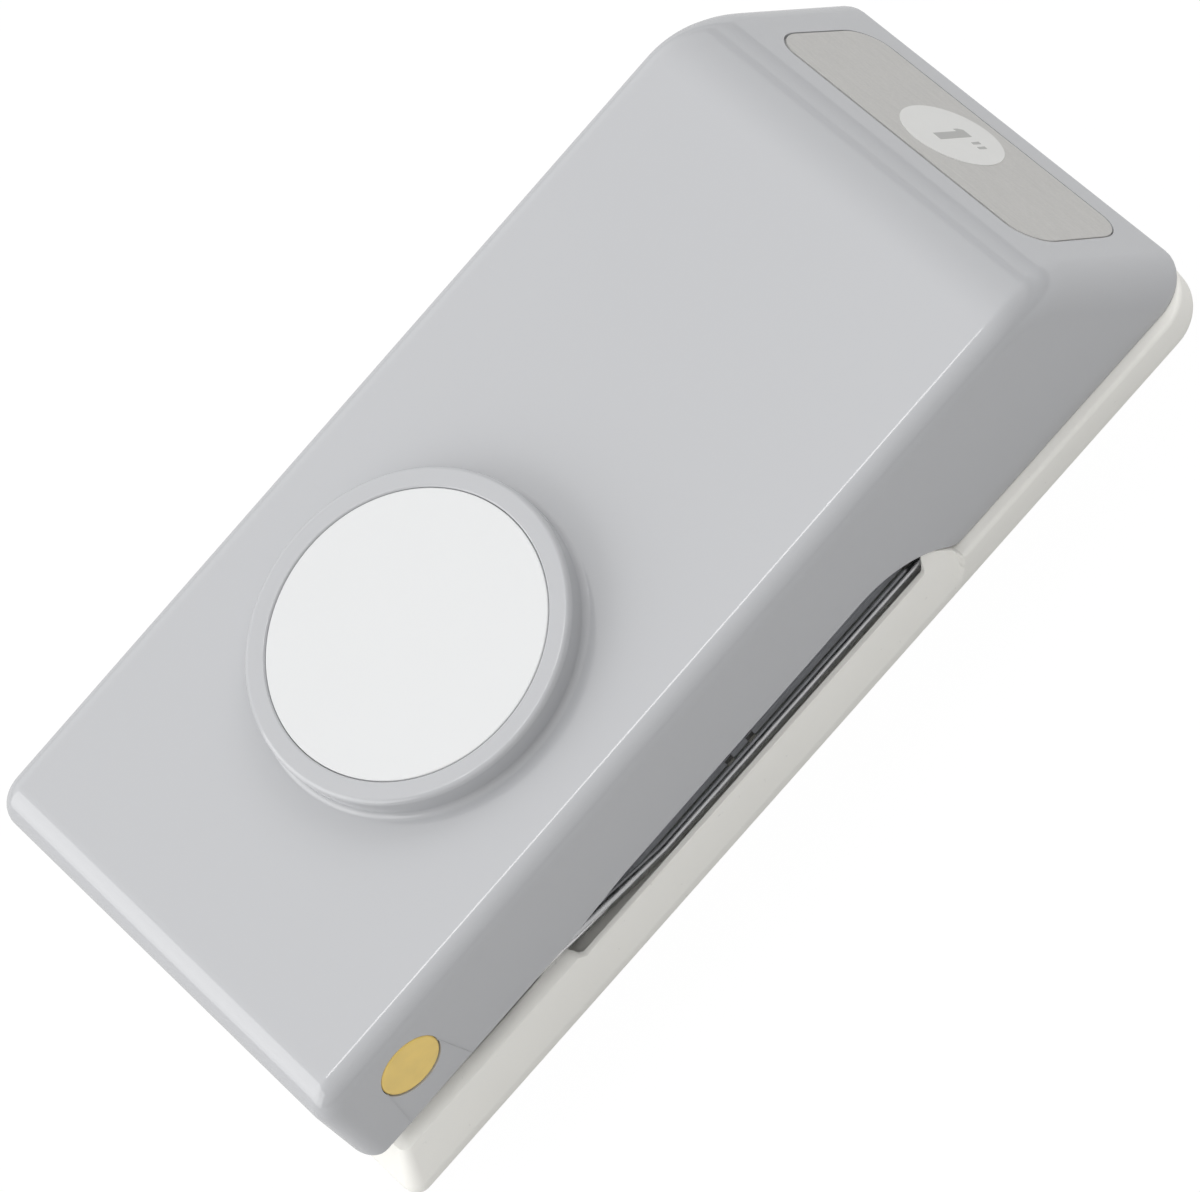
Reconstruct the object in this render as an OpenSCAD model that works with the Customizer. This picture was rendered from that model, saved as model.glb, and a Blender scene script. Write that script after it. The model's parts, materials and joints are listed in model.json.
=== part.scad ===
// Lever-action circle craft punch, closed as it is stored. Millimetres.
// +X runs from the hinge to the sloped front, +Z is up, the base rests on z = 0.

/* [Base tray] */
// Length of the base
base_l = 98.6; // [94:0.1:106]
// Width of the base at the table
base_w = 47.6; // [47:0.1:52]
// Wall of the base at the floor
base_wall = 1.6; // [1.4:0.1:1.8]
// Floor of the base
floor_t = 1.5; // [1.2:0.1:1.8]
// Height of the plain band along the foot of the sides
foot_h = 0.8; // [0.4:0.1:1.6]
// Height of the front rim that the lever closes on
rim_h = 3.2; // [2.6:0.1:3.6]
// Height of the wall beside the paper throat
throat_h = 4.55; // [4:0.05:4.9]
// Height of the ridge along the rear wall
ridge_h = 4.6; // [4:0.1:5]
// Height of the rear wall
rear_h = 5.7; // [5.2:0.1:5.8]
// How far the sides lean in from foot to ridge
side_lean = 1.2; // [0.8:0.05:1.25]
// How far the rear end leans in from foot to ridge
rear_lean = 2.3; // [1:0.1:2.6]
// How far the bevel above the ridge goes in
bevel_in = 0.75; // [0.6:0.05:1]
// Corner radius of the base at the front
front_corner_r = 4.5; // [3:0.1:6]
// Corner radius of the base at the rear
rear_corner_r = 1.5; // [1:0.1:4]
// Radius of the scoop where the throat meets the front block
scoop_r = 2.8; // [2.6:0.1:4]
// How far the scoop cuts into the front block
scoop_in = 2.7; // [2:0.1:3]
// Length over which the throat's wall falls to the front rim
wall_fall = 1.1; // [0.8:0.1:1.6]
// Length of the throat past each end of the die set
throat_margin = 1; // [0.7:0.1:1.3]
// Thickness left at the top of the wall beside the wire's tips
rear_lip = 0.15; // [0.15:0.05:0.4]
// Room around the cut circle in the drop hole
drop_room = 1; // [0.6:0.1:1.4]

/* [Lever] */
// How far the base stands out past the lever's top on each side
side_ledge = 1.55; // [1.2:0.05:1.8]
// Wall of the lever
lever_wall = 1.7; // [1.3:0.05:1.8]
// Rounding of the lever's edges
edge_r = 1.9; // [1.85:0.05:3]
// Depth of the lever's sides
skirt_depth = 11.3; // [10.6:0.1:11.6]
// Outward draft of each side over the skirt depth
side_draft = 0.3; // [0:0.05:0.5]
// Draft of the rear face over the skirt depth
rear_draft = 0.55; // [0:0.05:0.8]
// Angle of the front slope below level
slope_angle = 59; // [55:1:65]
// Distance from the base's front end back to the corner of the slope
slope_run = 9.5; // [8:0.1:11]
// Radius that blends the top into the slope
blend_r = 10; // [6:0.5:14]
// Radius of the arch where the side drops to the front
arch_r = 10; // [7:0.5:11]
// Distance from the throat's front end back to the arch's centre
arch_inset = 5.8; // [5:0.1:6.5]
// Rounding of the lower rear corner in side view
heel_r = 1.5; // [1:0.1:4]
// How far the side is cut higher along the throat
throat_lift = 0.55; // [0.2:0.05:0.7]
// Length over which the side's lower edge rises at the throat's rear end
lift_run = 7; // [4:0.5:10]
// Gap between the front of the lever and the rim
front_gap = 0.3; // [0.2:0.05:0.5]

/* [Pivot] */
// Distance from the rear end to the pivot
pivot_inset = 8.5; // [7:0.1:10]
// Height of the pivot
pivot_h = 12.9; // [12.7:0.1:13.6]
// Depth of the pivot below the lever's top
pivot_drop = 5.6; // [5.4:0.1:5.8]
// Diameter of the pin head that shows in the side
head_d = 6; // [5:0.1:6.4]
// Diameter of the pin's shank
shank_d = 3; // [2:0.1:4]
// Pitch of the closed lever, front up
rest_pitch = 0.75; // [0.5:0.05:1]
// Thickness of the ears that carry the pins
ear_t = 2; // [1.4:0.1:3]
// Gap between the ears' round tops and the lever's roof
ear_room = 0.5; // [0.3:0.1:0.8]
// Length of the pin's shank that shows inside the ear
pin_through = 0.3; // [0.1:0.1:0.6]
// Chamfer around the face of the pin's head
pin_chamfer = 0.2; // [0.1:0.05:0.4]
// Radial clearance of the lever on the pin heads
pivot_clear = 0.05; // [0.02:0.01:0.1]

/* [Shape disc and size plate] */
// Diameter of the white disc, the same as the cut circle
punch_d = 25.4; // [24:0.1:26]
// Distance from the pivot to the disc's centre
disc_reach = 25.85; // [24:0.1:27]
// Height of the disc's face above the lever's top
disc_rise = 2.75; // [2.2:0.05:3.5]
// Thickness of the disc
disc_t = 0.8; // [0.5:0.1:1.2]
// Width of the flat top of the ring around the disc
ring_w = 1.95; // [1:0.05:2.4]
// Radius of the fillet at the foot of the ring
ring_fillet = 0.55; // [0.3:0.05:2]
// Rounding of the ring's outer top edge
ring_edge = 0.5; // [0.3:0.1:1]
// Thickness of the seat under the disc
seat_t = 1.2; // [0.8:0.1:1.5]
// Width of the wall that carries the seat
seat_rim = 1; // [0.8:0.1:1.5]
// Length of the size plate down the slope
plate_l = 12.1; // [9:0.1:12.4]
// How far the plate's upper edge reaches over the blend
plate_over = 0.9; // [0:0.1:1.2]
// Width of the size plate
plate_w = 32.4; // [28:0.1:36]
// Thickness of the size plate
plate_t = 0.45; // [0.3:0.05:0.6]
// Corner radius of the size plate
plate_r = 3; // [2:0.1:4]
// Diameter of the round badge on the plate
badge_d = 9.3; // [7:0.1:10]
// Thickness of the badge
badge_t = 0.15; // [0.1:0.05:0.3]

/* [Die set] */
// Distance of the punch's centre behind the middle of the base
punch_back = 4; // [3.4:0.1:4.8]
// Length of the die set
die_l = 40; // [38:0.5:41]
// Half-gap by which the carrier's flange stands out past the die
flange_out = 0.45; // [0.2:0.05:0.6]
// Thickness of the carrier's flange
flange_t = 0.6; // [0.4:0.1:0.8]
// Width and depth of the notches that mark the punch's centre
notch_w = 0.8; // [0.6:0.1:1]
// Distance of each notch from the punch's centre
notch_x = 1.3; // [1:0.1:1.8]
// Thickness of the pad under the die set, above the floor
pad_t = 0.5; // [0.3:0.1:0.7]
// Thickness of the die carrier
carrier_t = 1.4; // [1.1:0.1:1.6]
// Room around the cut circle in the die carrier
carrier_room = 0.6; // [0.4:0.1:0.8]
// Thickness of the die plate
die_t = 1.8; // [1.5:0.1:2]
// Height of the paper gap
paper_gap = 1.1; // [0.8:0.1:1.2]
// Thickness of the guide block
guide_t = 3; // [2.8:0.1:3.1]
// Length of each spacer
spacer_l = 4; // [3.4:0.1:4.2]
// Width of the guide block
guide_w = 34; // [33:0.5:37]
// Diameter of the die screws
screw_d = 2.5; // [2:0.1:2.8]
// Diameter of the screw heads
screw_head_d = 4.2; // [3.6:0.1:4.6]
// Height of the screw heads
screw_head_h = 0.9; // [0.7:0.1:1]
// Distance of the die screws' ends below the guide's top
screw_short = 0.6; // [0.4:0.1:1]
// Distance of the die screws' heads from the guide's edge
screw_margin = 1; // [0.5:0.1:1.5]

/* [Punch] */
// How far the closed punch stands in the die
punch_bite = 1.2; // [0.8:0.1:1.5]
// Radial clearance of the punch in the die
die_clear = 0.04; // [0.02:0.01:0.08]
// Radial clearance of the punch in the guide
guide_clear = 0.07; // [0.05:0.01:0.1]
// Height of the punch above the guide when closed
punch_proud = 0.5; // [0.3:0.1:0.6]
// Height of the cross pin above the punch's top
pin_rise = 2.8; // [2.6:0.1:3]
// Diameter of the cross pin
cross_d = 3; // [2.4:0.1:3.2]
// Clearance of the cross pin in the punch's slot
slot_clear = 0.12; // [0.08:0.01:0.16]
// Run of the cross pin along the slot, each way
slot_run = 0.8; // [0.6:0.1:1.2]
// Width of the neck across the punch
neck_w = 13; // [11:0.5:14]
// Thickness of the ribs that hold the cross pin
rib_t = 2; // [1.6:0.1:2.4]
// Gap between the punch's neck and the ribs
rib_gap = 1.7; // [1.5:0.1:2]
// Length of the ribs along the lever
rib_l = 5.2; // [4.6:0.1:6]
// Gap between the closed ribs and the punch's top
rib_lift = 0.6; // [0.4:0.1:0.8]
// Width of the punch's cutting rim
rim_w = 2; // [1.5:0.1:3]
// Depth of the hollow inside the cutting rim
face_depth = 0.5; // [0.3:0.1:0.8]
// Thickness of the round flange of the punch's carrier
cap_t = 1.4; // [1.2:0.1:1.5]
// Width of that flange around the neck
cap_rim = 1.5; // [1.2:0.1:1.8]
// Wall beside the pin's slot in the neck
neck_wall = 1.2; // [1:0.1:1.4]
// Wall above the pin's slot in the neck
neck_top = 0.9; // [0.7:0.05:1]
// Diameter of the punch's screws
punch_screw_d = 1.8; // [1.6:0.1:2]
// Diameter of their heads
punch_screw_head_d = 3.2; // [2.8:0.1:3.4]
// Height of their heads
punch_screw_head_h = 0.9; // [0.6:0.1:1]
// Distance of those screws from the flange's edge
punch_screw_inset = 1.9; // [1.8:0.05:2]
// Depth of solid metal below the screws' holes
punch_floor = 2; // [1.5:0.1:3]
// Gap between the screws' ends and the bottom of the holes
screw_end_gap = 0.4; // [0.2:0.1:0.6]

/* [Return wire] */
// Diameter of the wire
wire_d = 1.2; // [1:0.05:1.3]
// Clearance beside the wire
wire_gap = 0.35; // [0.25:0.05:0.4]
// Height of the wire above the floor
wire_lift = 0.6; // [0.5:0.05:0.8]
// Radius of the wire's bends
bend_r = 1.5; // [1.2:0.1:2]
// Distance from the cross bar to the start of the rise
leg_l = 31.4; // [28:0.1:33]
// Angle of the rise toward the hinge
rise_angle = 10.5; // [9:0.1:11]
// Distance from the pivot to the wire's tips
tip_reach = 8.85; // [8:0.05:9.5]
// Length of the inturned tips
tip_l = 4.5; // [4:0.1:5]
// Gap between the tips and the lever's pads when closed
tip_gap = 0.1; // [0.05:0.05:0.2]
// Length of the lever's pads over the tips
pad_l = 2; // [1.6:0.1:2.4]
// Distance from the die set to the cross bar's clearance
bar_room = 1; // [0.6:0.1:1.2]
// Width of the keeper over the cross bar
keeper_w = 20; // [16:0.5:24]
// Wall of the keeper before and behind the bar
keeper_wall = 0.9; // [0.7:0.1:1]
// Wall of the keeper above the bar
keeper_top = 1; // [0.7:0.1:1.2]
// Height of the keeper's screwed tab
keeper_tab_h = 1.8; // [1.6:0.1:2.2]
// Room around the screw heads on that tab
keeper_margin = 0.5; // [0.3:0.1:0.7]
// Distance of the keeper screws' ends below the tab's top
keeper_short = 0.2; // [0.1:0.05:0.4]

/* [Lock] */
// Travel of the lock slide
lock_travel = 1.8; // [1.2:0.1:2]
// Thickness of the lock slide
lock_t = 1.2; // [1:0.1:1.4]
// Width of the lock slide
lock_w = 12; // [10:0.5:14]
// Distance from the slope's corner back to the front of the lock slide
lock_back = 1.55; // [1.2:0.05:2]
// Clearance around the lock slide
lock_clear = 0.2; // [0.15:0.05:0.3]
// Gap between the keeper and the lock slide
lock_gap = 3; // [2:0.1:3.2]
// Thickness of the rails beside the slide
rail_t = 2; // [1.5:0.1:2.5]
// Overhang of the rails' lips over the slide
lip_in = 1.2; // [0.8:0.1:1.5]
// Thickness of those lips
lip_t = 1; // [0.8:0.1:1.2]
// Thickness of the slide's upright post
post_t = 1.4; // [1:0.1:1.6]
// Length of the nose on the post
nose_l = 1.4; // [1.2:0.1:1.6]
// Thickness of that nose
nose_t = 1.2; // [1:0.1:1.4]
// Height of the lever's catch above the rim
catch_lift = 1.1; // [0.8:0.1:1.3]
// Length of the catch's nose
catch_nose_l = 1.6; // [1.2:0.1:1.8]
// Thickness of that nose
catch_nose_t = 1.1; // [0.9:0.1:1.3]
// Thickness of the catch's upright
catch_t = 1.8; // [1.4:0.1:2]
// Gap under the post's nose when it is over the catch
catch_gap = 0.5; // [0.3:0.1:0.7]
// Gap between the open post's nose and the catch
catch_room = 0.8; // [0.6:0.05:0.9]
// Length of the finger tab in the underside
tab_l = 3; // [2.4:0.1:3.6]
// Width of that tab
tab_w = 6; // [4:0.5:8]
// Height of the tab's face above the table
tab_gap = 0.4; // [0.3:0.1:0.6]

/* [Hidden] */
$fn = 64;

// Small amount by which cuts and unions run past a face
eps = 0.02;
// Clearance of fixed screws, pins and inlays in their seats
fit = 0.05;
// A length that clears the whole part
far = 200;
// Overrun of a cut at each end
over = 1;
// Straight steps in each rounded outline, and in each bend of the wire
steps = 8;
bend_steps = 5;
// Sides of the wire's round
wire_sides = 12;

// Base: ends, inner faces and the places along its length
rear_x = -base_l / 2;
front_x = base_l / 2;
base_y = base_w / 2;
inner_y = base_y - base_wall;
bevel_y = base_y - side_lean - bevel_in;
pivot_x = rear_x + pivot_inset;
punch_x = -punch_back;
throat_rear = punch_x - die_l / 2 - throat_margin;
throat_front = punch_x + die_l / 2 + throat_margin;
scoop_end = throat_front + scoop_in;

// Lever: heights and widths while it lies level
lever_w = base_w - 2 * side_ledge;
lever_top = pivot_h + pivot_drop;
skirt_z = lever_top - skirt_depth;
slope_x = front_x - slope_run;
roof_z = lever_top - lever_wall;
function lever_half(z) = lever_w / 2 + side_draft * (lever_top - z) / skirt_depth;
function lever_rear(z) = rear_x + rear_draft * (z - skirt_z) / skirt_depth;
// How far the pitch lifts the closed lever at x
function pitch_rise(x) = (x - pivot_x) * tan(rest_pitch);
disc_x = pivot_x + disc_reach;
// Middle of the size plate down the slope from its corner
plate_mid = blend_r * tan(slope_angle / 2) - plate_over + plate_l / 2;

// Die set: heights from the floor up
pad_z = floor_t + pad_t;
carrier_z = pad_z + carrier_t;
die_z = carrier_z + die_t;
gap_z = die_z + paper_gap;
guide_z = gap_z + guide_t;
punch_z = die_z - punch_bite;
punch_top = guide_z + punch_proud;
cross_z = punch_top + pin_rise;
punch_r = punch_d / 2 - die_clear;
// Ribs beside the punch's neck, and the cross pin across them
rib_y = neck_w / 2 + rib_gap;
cross_half = rib_y + rib_t;

// Carrier on top of the punch, and its screws
cap_d = neck_w + 2 * cap_rim;
punch_screw_x = cap_d / 2 - punch_screw_inset;

// Return wire: its leg lies between the wall and the die set
rear_inner_y = bevel_y - rear_lip;
wire_y = rear_inner_y - wire_gap - wire_d / 2;
wire_z = floor_t + wire_lift + wire_d / 2;
carrier_y = wire_y - wire_d / 2 - wire_gap;
die_y = carrier_y - flange_out;
bar_x = punch_x + die_l / 2 + wire_gap + wire_d + bar_room;
rise_x = bar_x - bend_r - leg_l;
tip_x = pivot_x + tip_reach;
rise_l = (rise_x - tip_x) / cos(rise_angle);
tip_z = wire_z + rise_l * sin(rise_angle);

// Screws that hold the die set from below
die_screw_x = die_l / 2 - spacer_l / 2;
die_screw_y = guide_w / 2 - screw_head_d / 2 - screw_margin;

// Keeper of the cross bar
keeper_h = wire_lift + wire_d + keeper_top;
keeper_back = wire_d / 2 + keeper_wall;
keeper_tab_l = screw_head_d + 2 * keeper_margin;
keeper_screw_x = bar_x + keeper_back + keeper_tab_l / 2;
keeper_screw_y = keeper_w / 2 - screw_head_d;

// Lock: a slide between rails, with a nose over the lever's catch
lock_z = floor_t + lock_clear / 2;
lock_x0 = keeper_screw_x + keeper_tab_l / 2 + lock_gap;
lock_x1 = slope_x - lock_back;
lock_l = lock_x1 - lock_x0;
catch_z = rim_h + catch_lift;
lock_post_top = catch_z + catch_nose_t + catch_gap + nose_t;
post_w = lock_w - 2 * lip_in - 2 * lock_clear;
nose_x = lock_x1 + nose_l;
catch_x = nose_x + catch_room;

// Ears and the pivot pins
ear_r = pivot_drop - lever_wall - ear_room;
ear_y = lever_half(pivot_h) - lever_wall - wire_gap;
ear_in = ear_y - ear_t;
pin_out_y = lever_half(pivot_h);

// Colours
off_white = [0.93, 0.925, 0.90];
cool_grey = [0.79, 0.795, 0.81];
warm_grey = [0.72, 0.715, 0.705];
yellow = [0.80, 0.69, 0.42];
dark_steel = [0.30, 0.30, 0.31];
bright_steel = [0.62, 0.63, 0.65];
black = [0.12, 0.12, 0.13];

// Shared shapes

// Plan of a box with one corner radius at each end
module plan(x0, x1, w, r0, r1) {
    translate([x0 + r0, -w / 2]) square([x1 - r1 - x0 - r0, w]);
    translate([x0, -w / 2 + r0]) square([r0 + eps, w - 2 * r0]);
    translate([x1 - r1 - eps, -w / 2 + r1]) square([r1 + eps, w - 2 * r1]);
    for (s = [-1, 1]) {
        translate([x0 + r0, s * (w / 2 - r0)]) circle(r0);
        translate([x1 - r1, s * (w / 2 - r1)]) circle(r1);
    }
}

// A side outline in X and Z, drawn out across Y
module across(w) {
    rotate([90, 0, 0]) linear_extrude(w, center = true) children();
}

// A cross-section in Y and Z, drawn out along X from x0 to x1
module along(x0, x1) {
    translate([x0, 0, 0]) rotate([90, 0, 90]) linear_extrude(x1 - x0) children();
}

// A box from two corners
module box(a, b) {
    translate(a) cube(b - a);
}

// A cylinder along Y, centred on x and z
module rod(x, z, y0, y1, d) {
    translate([x, y1, z]) rotate([90, 0, 0]) cylinder(h = y1 - y0, d = d);
}

// Places children at the lever's closed pitch
module lever_pose() {
    translate([pivot_x, 0, pivot_h]) rotate([0, -rest_pitch, 0])
        translate([-pivot_x, 0, -pivot_h]) children();
}

// Places children on the slope, X down it and Z out of it
module on_slope() {
    translate([slope_x, 0, lever_top]) rotate([0, slope_angle, 0]) children();
}

// A pan-head screw standing on its head
module screw(l) {
    cylinder(h = screw_head_h, d = screw_head_d);
    translate([0, 0, screw_head_h - eps]) cylinder(h = l + eps, d = screw_d);
}

// Base

// Solid outline of the base before it is hollowed
module base_block() {
    // Leaning sides behind the front block
    intersection() {
        linear_extrude(rear_h) plan(rear_x, front_x, base_w, rear_corner_r, front_corner_r);
        along(rear_x, front_x) polygon([
            [-base_y, 0], [base_y, 0], [base_y, foot_h], [base_y - side_lean, ridge_h], [bevel_y, rear_h],
            [-bevel_y, rear_h], [-base_y + side_lean, ridge_h], [-base_y, foot_h]]);
        across(far) polygon([
            [rear_x, 0], [rear_x, foot_h], [rear_x + rear_lean, ridge_h],
            [rear_x + rear_lean + bevel_in, rear_h], [throat_rear, rear_h], [throat_rear, throat_h],
            [scoop_end - wall_fall, throat_h], [scoop_end, rim_h], [scoop_end, 0]]);
    }
    // Upright front block, scooped away toward the throat
    intersection() {
        linear_extrude(rim_h) plan(rear_x, front_x, base_w, rear_corner_r, front_corner_r);
        across(far) difference() {
            translate([scoop_end - scoop_r, 0]) square([front_x - scoop_end + scoop_r, rim_h]);
            translate([scoop_end - scoop_r, foot_h + scoop_r]) circle(scoop_r);
        }
    }
}

module base_hollow() {
    // Throat and front
    translate([0, 0, floor_t]) linear_extrude(far)
        plan(throat_rear, front_x - base_wall, 2 * inner_y, base_wall / 2, front_corner_r - base_wall);
    // Room for the wire behind the throat
    box([tip_x - wire_d, -rear_inner_y, floor_t], [throat_rear + base_wall, rear_inner_y, far]);
    // Between the ears
    box([rear_x + rear_lean + base_wall, -ear_in, floor_t], [throat_rear, ear_in, far]);
    // Slot between each ear and the side wall
    for (s = [0, 1]) mirror([0, s, 0])
        box([rear_x + rear_lean + base_wall, ear_y, rim_h], [tip_x, rear_inner_y, far]);
}

module ears() {
    for (s = [0, 1]) mirror([0, s, 0]) {
        box([pivot_x - ear_r, ear_in, floor_t], [pivot_x + ear_r, ear_y, pivot_h]);
        rod(pivot_x, pivot_h, ear_in, ear_y, 2 * ear_r);
    }
}

module lock_rails() {
    rail_y = lock_w / 2 + lock_clear;
    rail_z = lock_z + lock_t + lock_clear;
    for (s = [0, 1]) mirror([0, s, 0]) {
        box([lock_x0, rail_y, floor_t - eps], [lock_x1, rail_y + rail_t, rail_z + lip_t]);
        box([lock_x0, rail_y - lip_in, rail_z], [lock_x1, rail_y + eps, rail_z + lip_t]);
    }
}

// Positions of the four die screws
module at_die_screws() {
    for (x = [-1, 1], y = [-1, 1])
        translate([punch_x + x * die_screw_x, y * die_screw_y, 0]) children();
}

module at_keeper_screws() {
    for (y = [-1, 1]) translate([keeper_screw_x, y * keeper_screw_y, 0]) children();
}

// Through hole with a recess for a screw head below
module screw_hole(h) {
    translate([0, 0, -eps]) cylinder(h = h + 2 * eps, d = screw_d + 2 * fit);
    translate([0, 0, -eps]) cylinder(h = screw_head_h + fit + eps, d = screw_head_d + 4 * fit);
}

module base_tray() {
    color(off_white) difference() {
        union() {
            difference() {
                base_block();
                base_hollow();
            }
            ears();
            lock_rails();
            box([punch_x - die_l / 2, -die_y, floor_t - eps], [punch_x + die_l / 2, die_y, pad_z]);
        }
        rod(pivot_x, pivot_h, -far, far, shank_d + 2 * fit);
        translate([punch_x, 0, -over]) cylinder(h = far, d = punch_d + 2 * drop_room);
        at_die_screws() screw_hole(pad_z);
        at_keeper_screws() screw_hole(floor_t);
        box([lock_x0 + lock_l / 2 - tab_l / 2 - lock_clear, -tab_w / 2 - lock_clear, -over],
            [lock_x0 + lock_l / 2 + tab_l / 2 + lock_clear + lock_travel, tab_w / 2 + lock_clear,
             floor_t + eps]);
    }
}

// Die set

// A rectangle of the die set, with its round hole and screw holes
module die_layer(z0, z1, half_w, hole_d) {
    difference() {
        box([punch_x - die_l / 2, -half_w, z0], [punch_x + die_l / 2, half_w, z1]);
        translate([punch_x, 0, z0 - over]) cylinder(h = z1 - z0 + 2 * over, d = hole_d);
        at_die_screws() translate([0, 0, z0 - over])
            cylinder(h = z1 - z0 + 2 * over, d = screw_d + 2 * fit);
    }
}

module die_carrier() {
    hole_d = punch_d + 2 * carrier_room;
    color(dark_steel) union() {
        difference() {
            die_layer(pad_z, pad_z + flange_t, carrier_y, hole_d);
            // Two notches in each edge mark the punch's centre
            for (s = [-1, 1], k = [-1, 1])
                translate([punch_x + k * notch_x - notch_w / 2, s * carrier_y - notch_w / 2, pad_z - over])
                    cube([notch_w, notch_w, flange_t + 2 * over]);
        }
        die_layer(pad_z + flange_t - eps, carrier_z, die_y, hole_d);
    }
}

module die_plate() {
    color(bright_steel) die_layer(carrier_z, die_z, die_y, punch_d);
}

module spacer(side) {
    x0 = side > 0 ? die_l / 2 - spacer_l : -die_l / 2;
    difference() {
        box([punch_x + x0, -die_y, die_z], [punch_x + x0 + spacer_l, die_y, gap_z]);
        at_die_screws() translate([0, 0, die_z - over])
            cylinder(h = paper_gap + 2 * over, d = screw_d + 2 * fit);
    }
}

module front_spacer() {
    color(dark_steel) spacer(1);
}

module rear_spacer() {
    color(dark_steel) spacer(-1);
}

module guide_block() {
    color(dark_steel) die_layer(gap_z, guide_z, guide_w / 2, 2 * (punch_r + guide_clear));
}

module die_screws() {
    color(bright_steel) at_die_screws()
        translate([0, 0, fit]) screw(guide_z - screw_short - screw_head_h - fit);
}

// Pivot

// A headed pin from outside the lever into the ear
module pivot_pin(side) {
    shank_end = ear_in - pin_through;
    color(yellow) rotate([0, 0, side > 0 ? 0 : 180]) translate([side * pivot_x, 0, pivot_h])
        rotate([-90, 0, 0]) rotate_extrude() polygon([
            [0, shank_end], [shank_d / 2, shank_end], [shank_d / 2, ear_y + fit],
            [head_d / 2, ear_y + fit], [head_d / 2, pin_out_y - pin_chamfer],
            [head_d / 2 - pin_chamfer, pin_out_y], [0, pin_out_y]]);
}

module pivot_pin_left() {
    pivot_pin(1);
}

module pivot_pin_right() {
    pivot_pin(-1);
}

// Return wire

function unit(v) = v / norm(v);

// One side of the wire's centre line, from the cross bar's end to the end of the inturned tip
function wire_side() = let (
    bar_bend = [bar_x - bend_r, wire_y - bend_r, wire_z],
    rise_way = [-cos(rise_angle), 0, sin(rise_angle)],
    tip_bend = [rise_x, wire_y - bend_r, wire_z] + (rise_l - bend_r) * rise_way,
    turns = [for (i = [0:bend_steps]) 90 * i / bend_steps])
    concat(
        [for (a = turns) bar_bend + bend_r * [cos(a), sin(a), 0]],
        [[rise_x, wire_y, wire_z]],
        [for (a = turns) tip_bend + bend_r * (sin(a) * rise_way + [0, cos(a), 0])],
        [[tip_x, wire_y - tip_l, tip_z]]);

// The same line on the other side, run backwards
function other_side(line) = [for (i = [len(line) - 1:-1:0]) [line[i][0], -line[i][1], line[i][2]]];

// Ring of points square to the line at its point i
function wire_ring(line, i) = let (
    way = unit(line[min(i + 1, len(line) - 1)] - line[max(i - 1, 0)]),
    side = unit(cross([0, 0, 1], way)),
    top = cross(way, side))
    [for (k = [0:wire_sides - 1]) let (a = 360 * k / wire_sides)
        line[i] + wire_d / 2 * (cos(a) * side + sin(a) * top)];

module return_wire() {
    line = concat(other_side(wire_side()), wire_side());
    last = len(line) - 1;
    n = wire_sides;
    skin = [for (i = [0:last - 1], k = [0:n - 1]) let (
        a = i * n + k, b = i * n + (k + 1) % n) each [[a, b + n, b], [a, a + n, b + n]]];
    ends = [[for (k = [0:n - 1]) k], [for (k = [n - 1:-1:0]) last * n + k]];
    color(bright_steel) polyhedron([for (i = [0:last]) each wire_ring(line, i)], concat(skin, ends));
}

module wire_keeper() {
    color(black) difference() {
        union() {
            box([bar_x - keeper_back, -keeper_w / 2, floor_t],
                [bar_x + keeper_back, keeper_w / 2, floor_t + keeper_h]);
            box([bar_x, -keeper_w / 2, floor_t],
                [bar_x + keeper_back + keeper_tab_l, keeper_w / 2, floor_t + keeper_tab_h]);
        }
        rod(bar_x, wire_z, -keeper_w, keeper_w, wire_d + 2 * fit);
        at_keeper_screws() cylinder(h = far, d = screw_d + 2 * fit);
    }
}

module keeper_screws() {
    color(bright_steel) at_keeper_screws()
        translate([0, 0, fit]) screw(floor_t + keeper_tab_h - keeper_short - screw_head_h - fit);
}

// Lever

// Rounded body of the lever; a smaller r gives the same body drawn in
module lever_form(r) {
    bend_x = slope_x - blend_r * tan(slope_angle / 2);
    bend_z = lever_top - blend_r;
    arm = blend_r - edge_r;
    // Centres of the rounding in X and Z, along the top, round the blend and past the bottom
    low = skirt_z - 2 * skirt_depth;
    slope_end = [bend_x + arm * sin(slope_angle), bend_z + arm * cos(slope_angle)];
    reach = (slope_end[1] - low) / sin(slope_angle);
    centres = concat(
        [for (z = [low, lever_top - edge_r]) [lever_rear(z) + edge_r, z]],
        [for (a = [0:slope_angle / steps:slope_angle]) [bend_x + arm * sin(a), bend_z + arm * cos(a)]],
        [[slope_end[0] + reach * cos(slope_angle), low]]);
    hull() for (c = centres, s = [-1, 1])
        translate([c[0], s * (lever_half(c[1]) - edge_r), c[1]]) sphere(r, $fn = 32);
}

// What the lever leaves open below: the skirt line, the arch, the heel and the front
module lever_below() {
    arch_x = throat_front - arch_inset;
    front_z = rim_h + front_gap;
    across(far) {
        translate([-far, skirt_z - far]) square([far + arch_x, far]);
        translate([arch_x, skirt_z + throat_lift - arch_r]) circle(arch_r);
        polygon([[throat_rear + lift_run, skirt_z + throat_lift], [arch_x, skirt_z + throat_lift],
                 [arch_x, skirt_z - over], [throat_rear, skirt_z - over], [throat_rear, skirt_z]]);
        difference() {
            translate([rear_x - over, skirt_z - over]) square(heel_r + over);
            translate([rear_x + heel_r, skirt_z + heel_r]) circle(heel_r);
        }
        polygon([[arch_x, front_z - pitch_rise(arch_x)], [far, front_z - pitch_rise(far)],
                 [far, -far], [arch_x, -far]]);
    }
}

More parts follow.
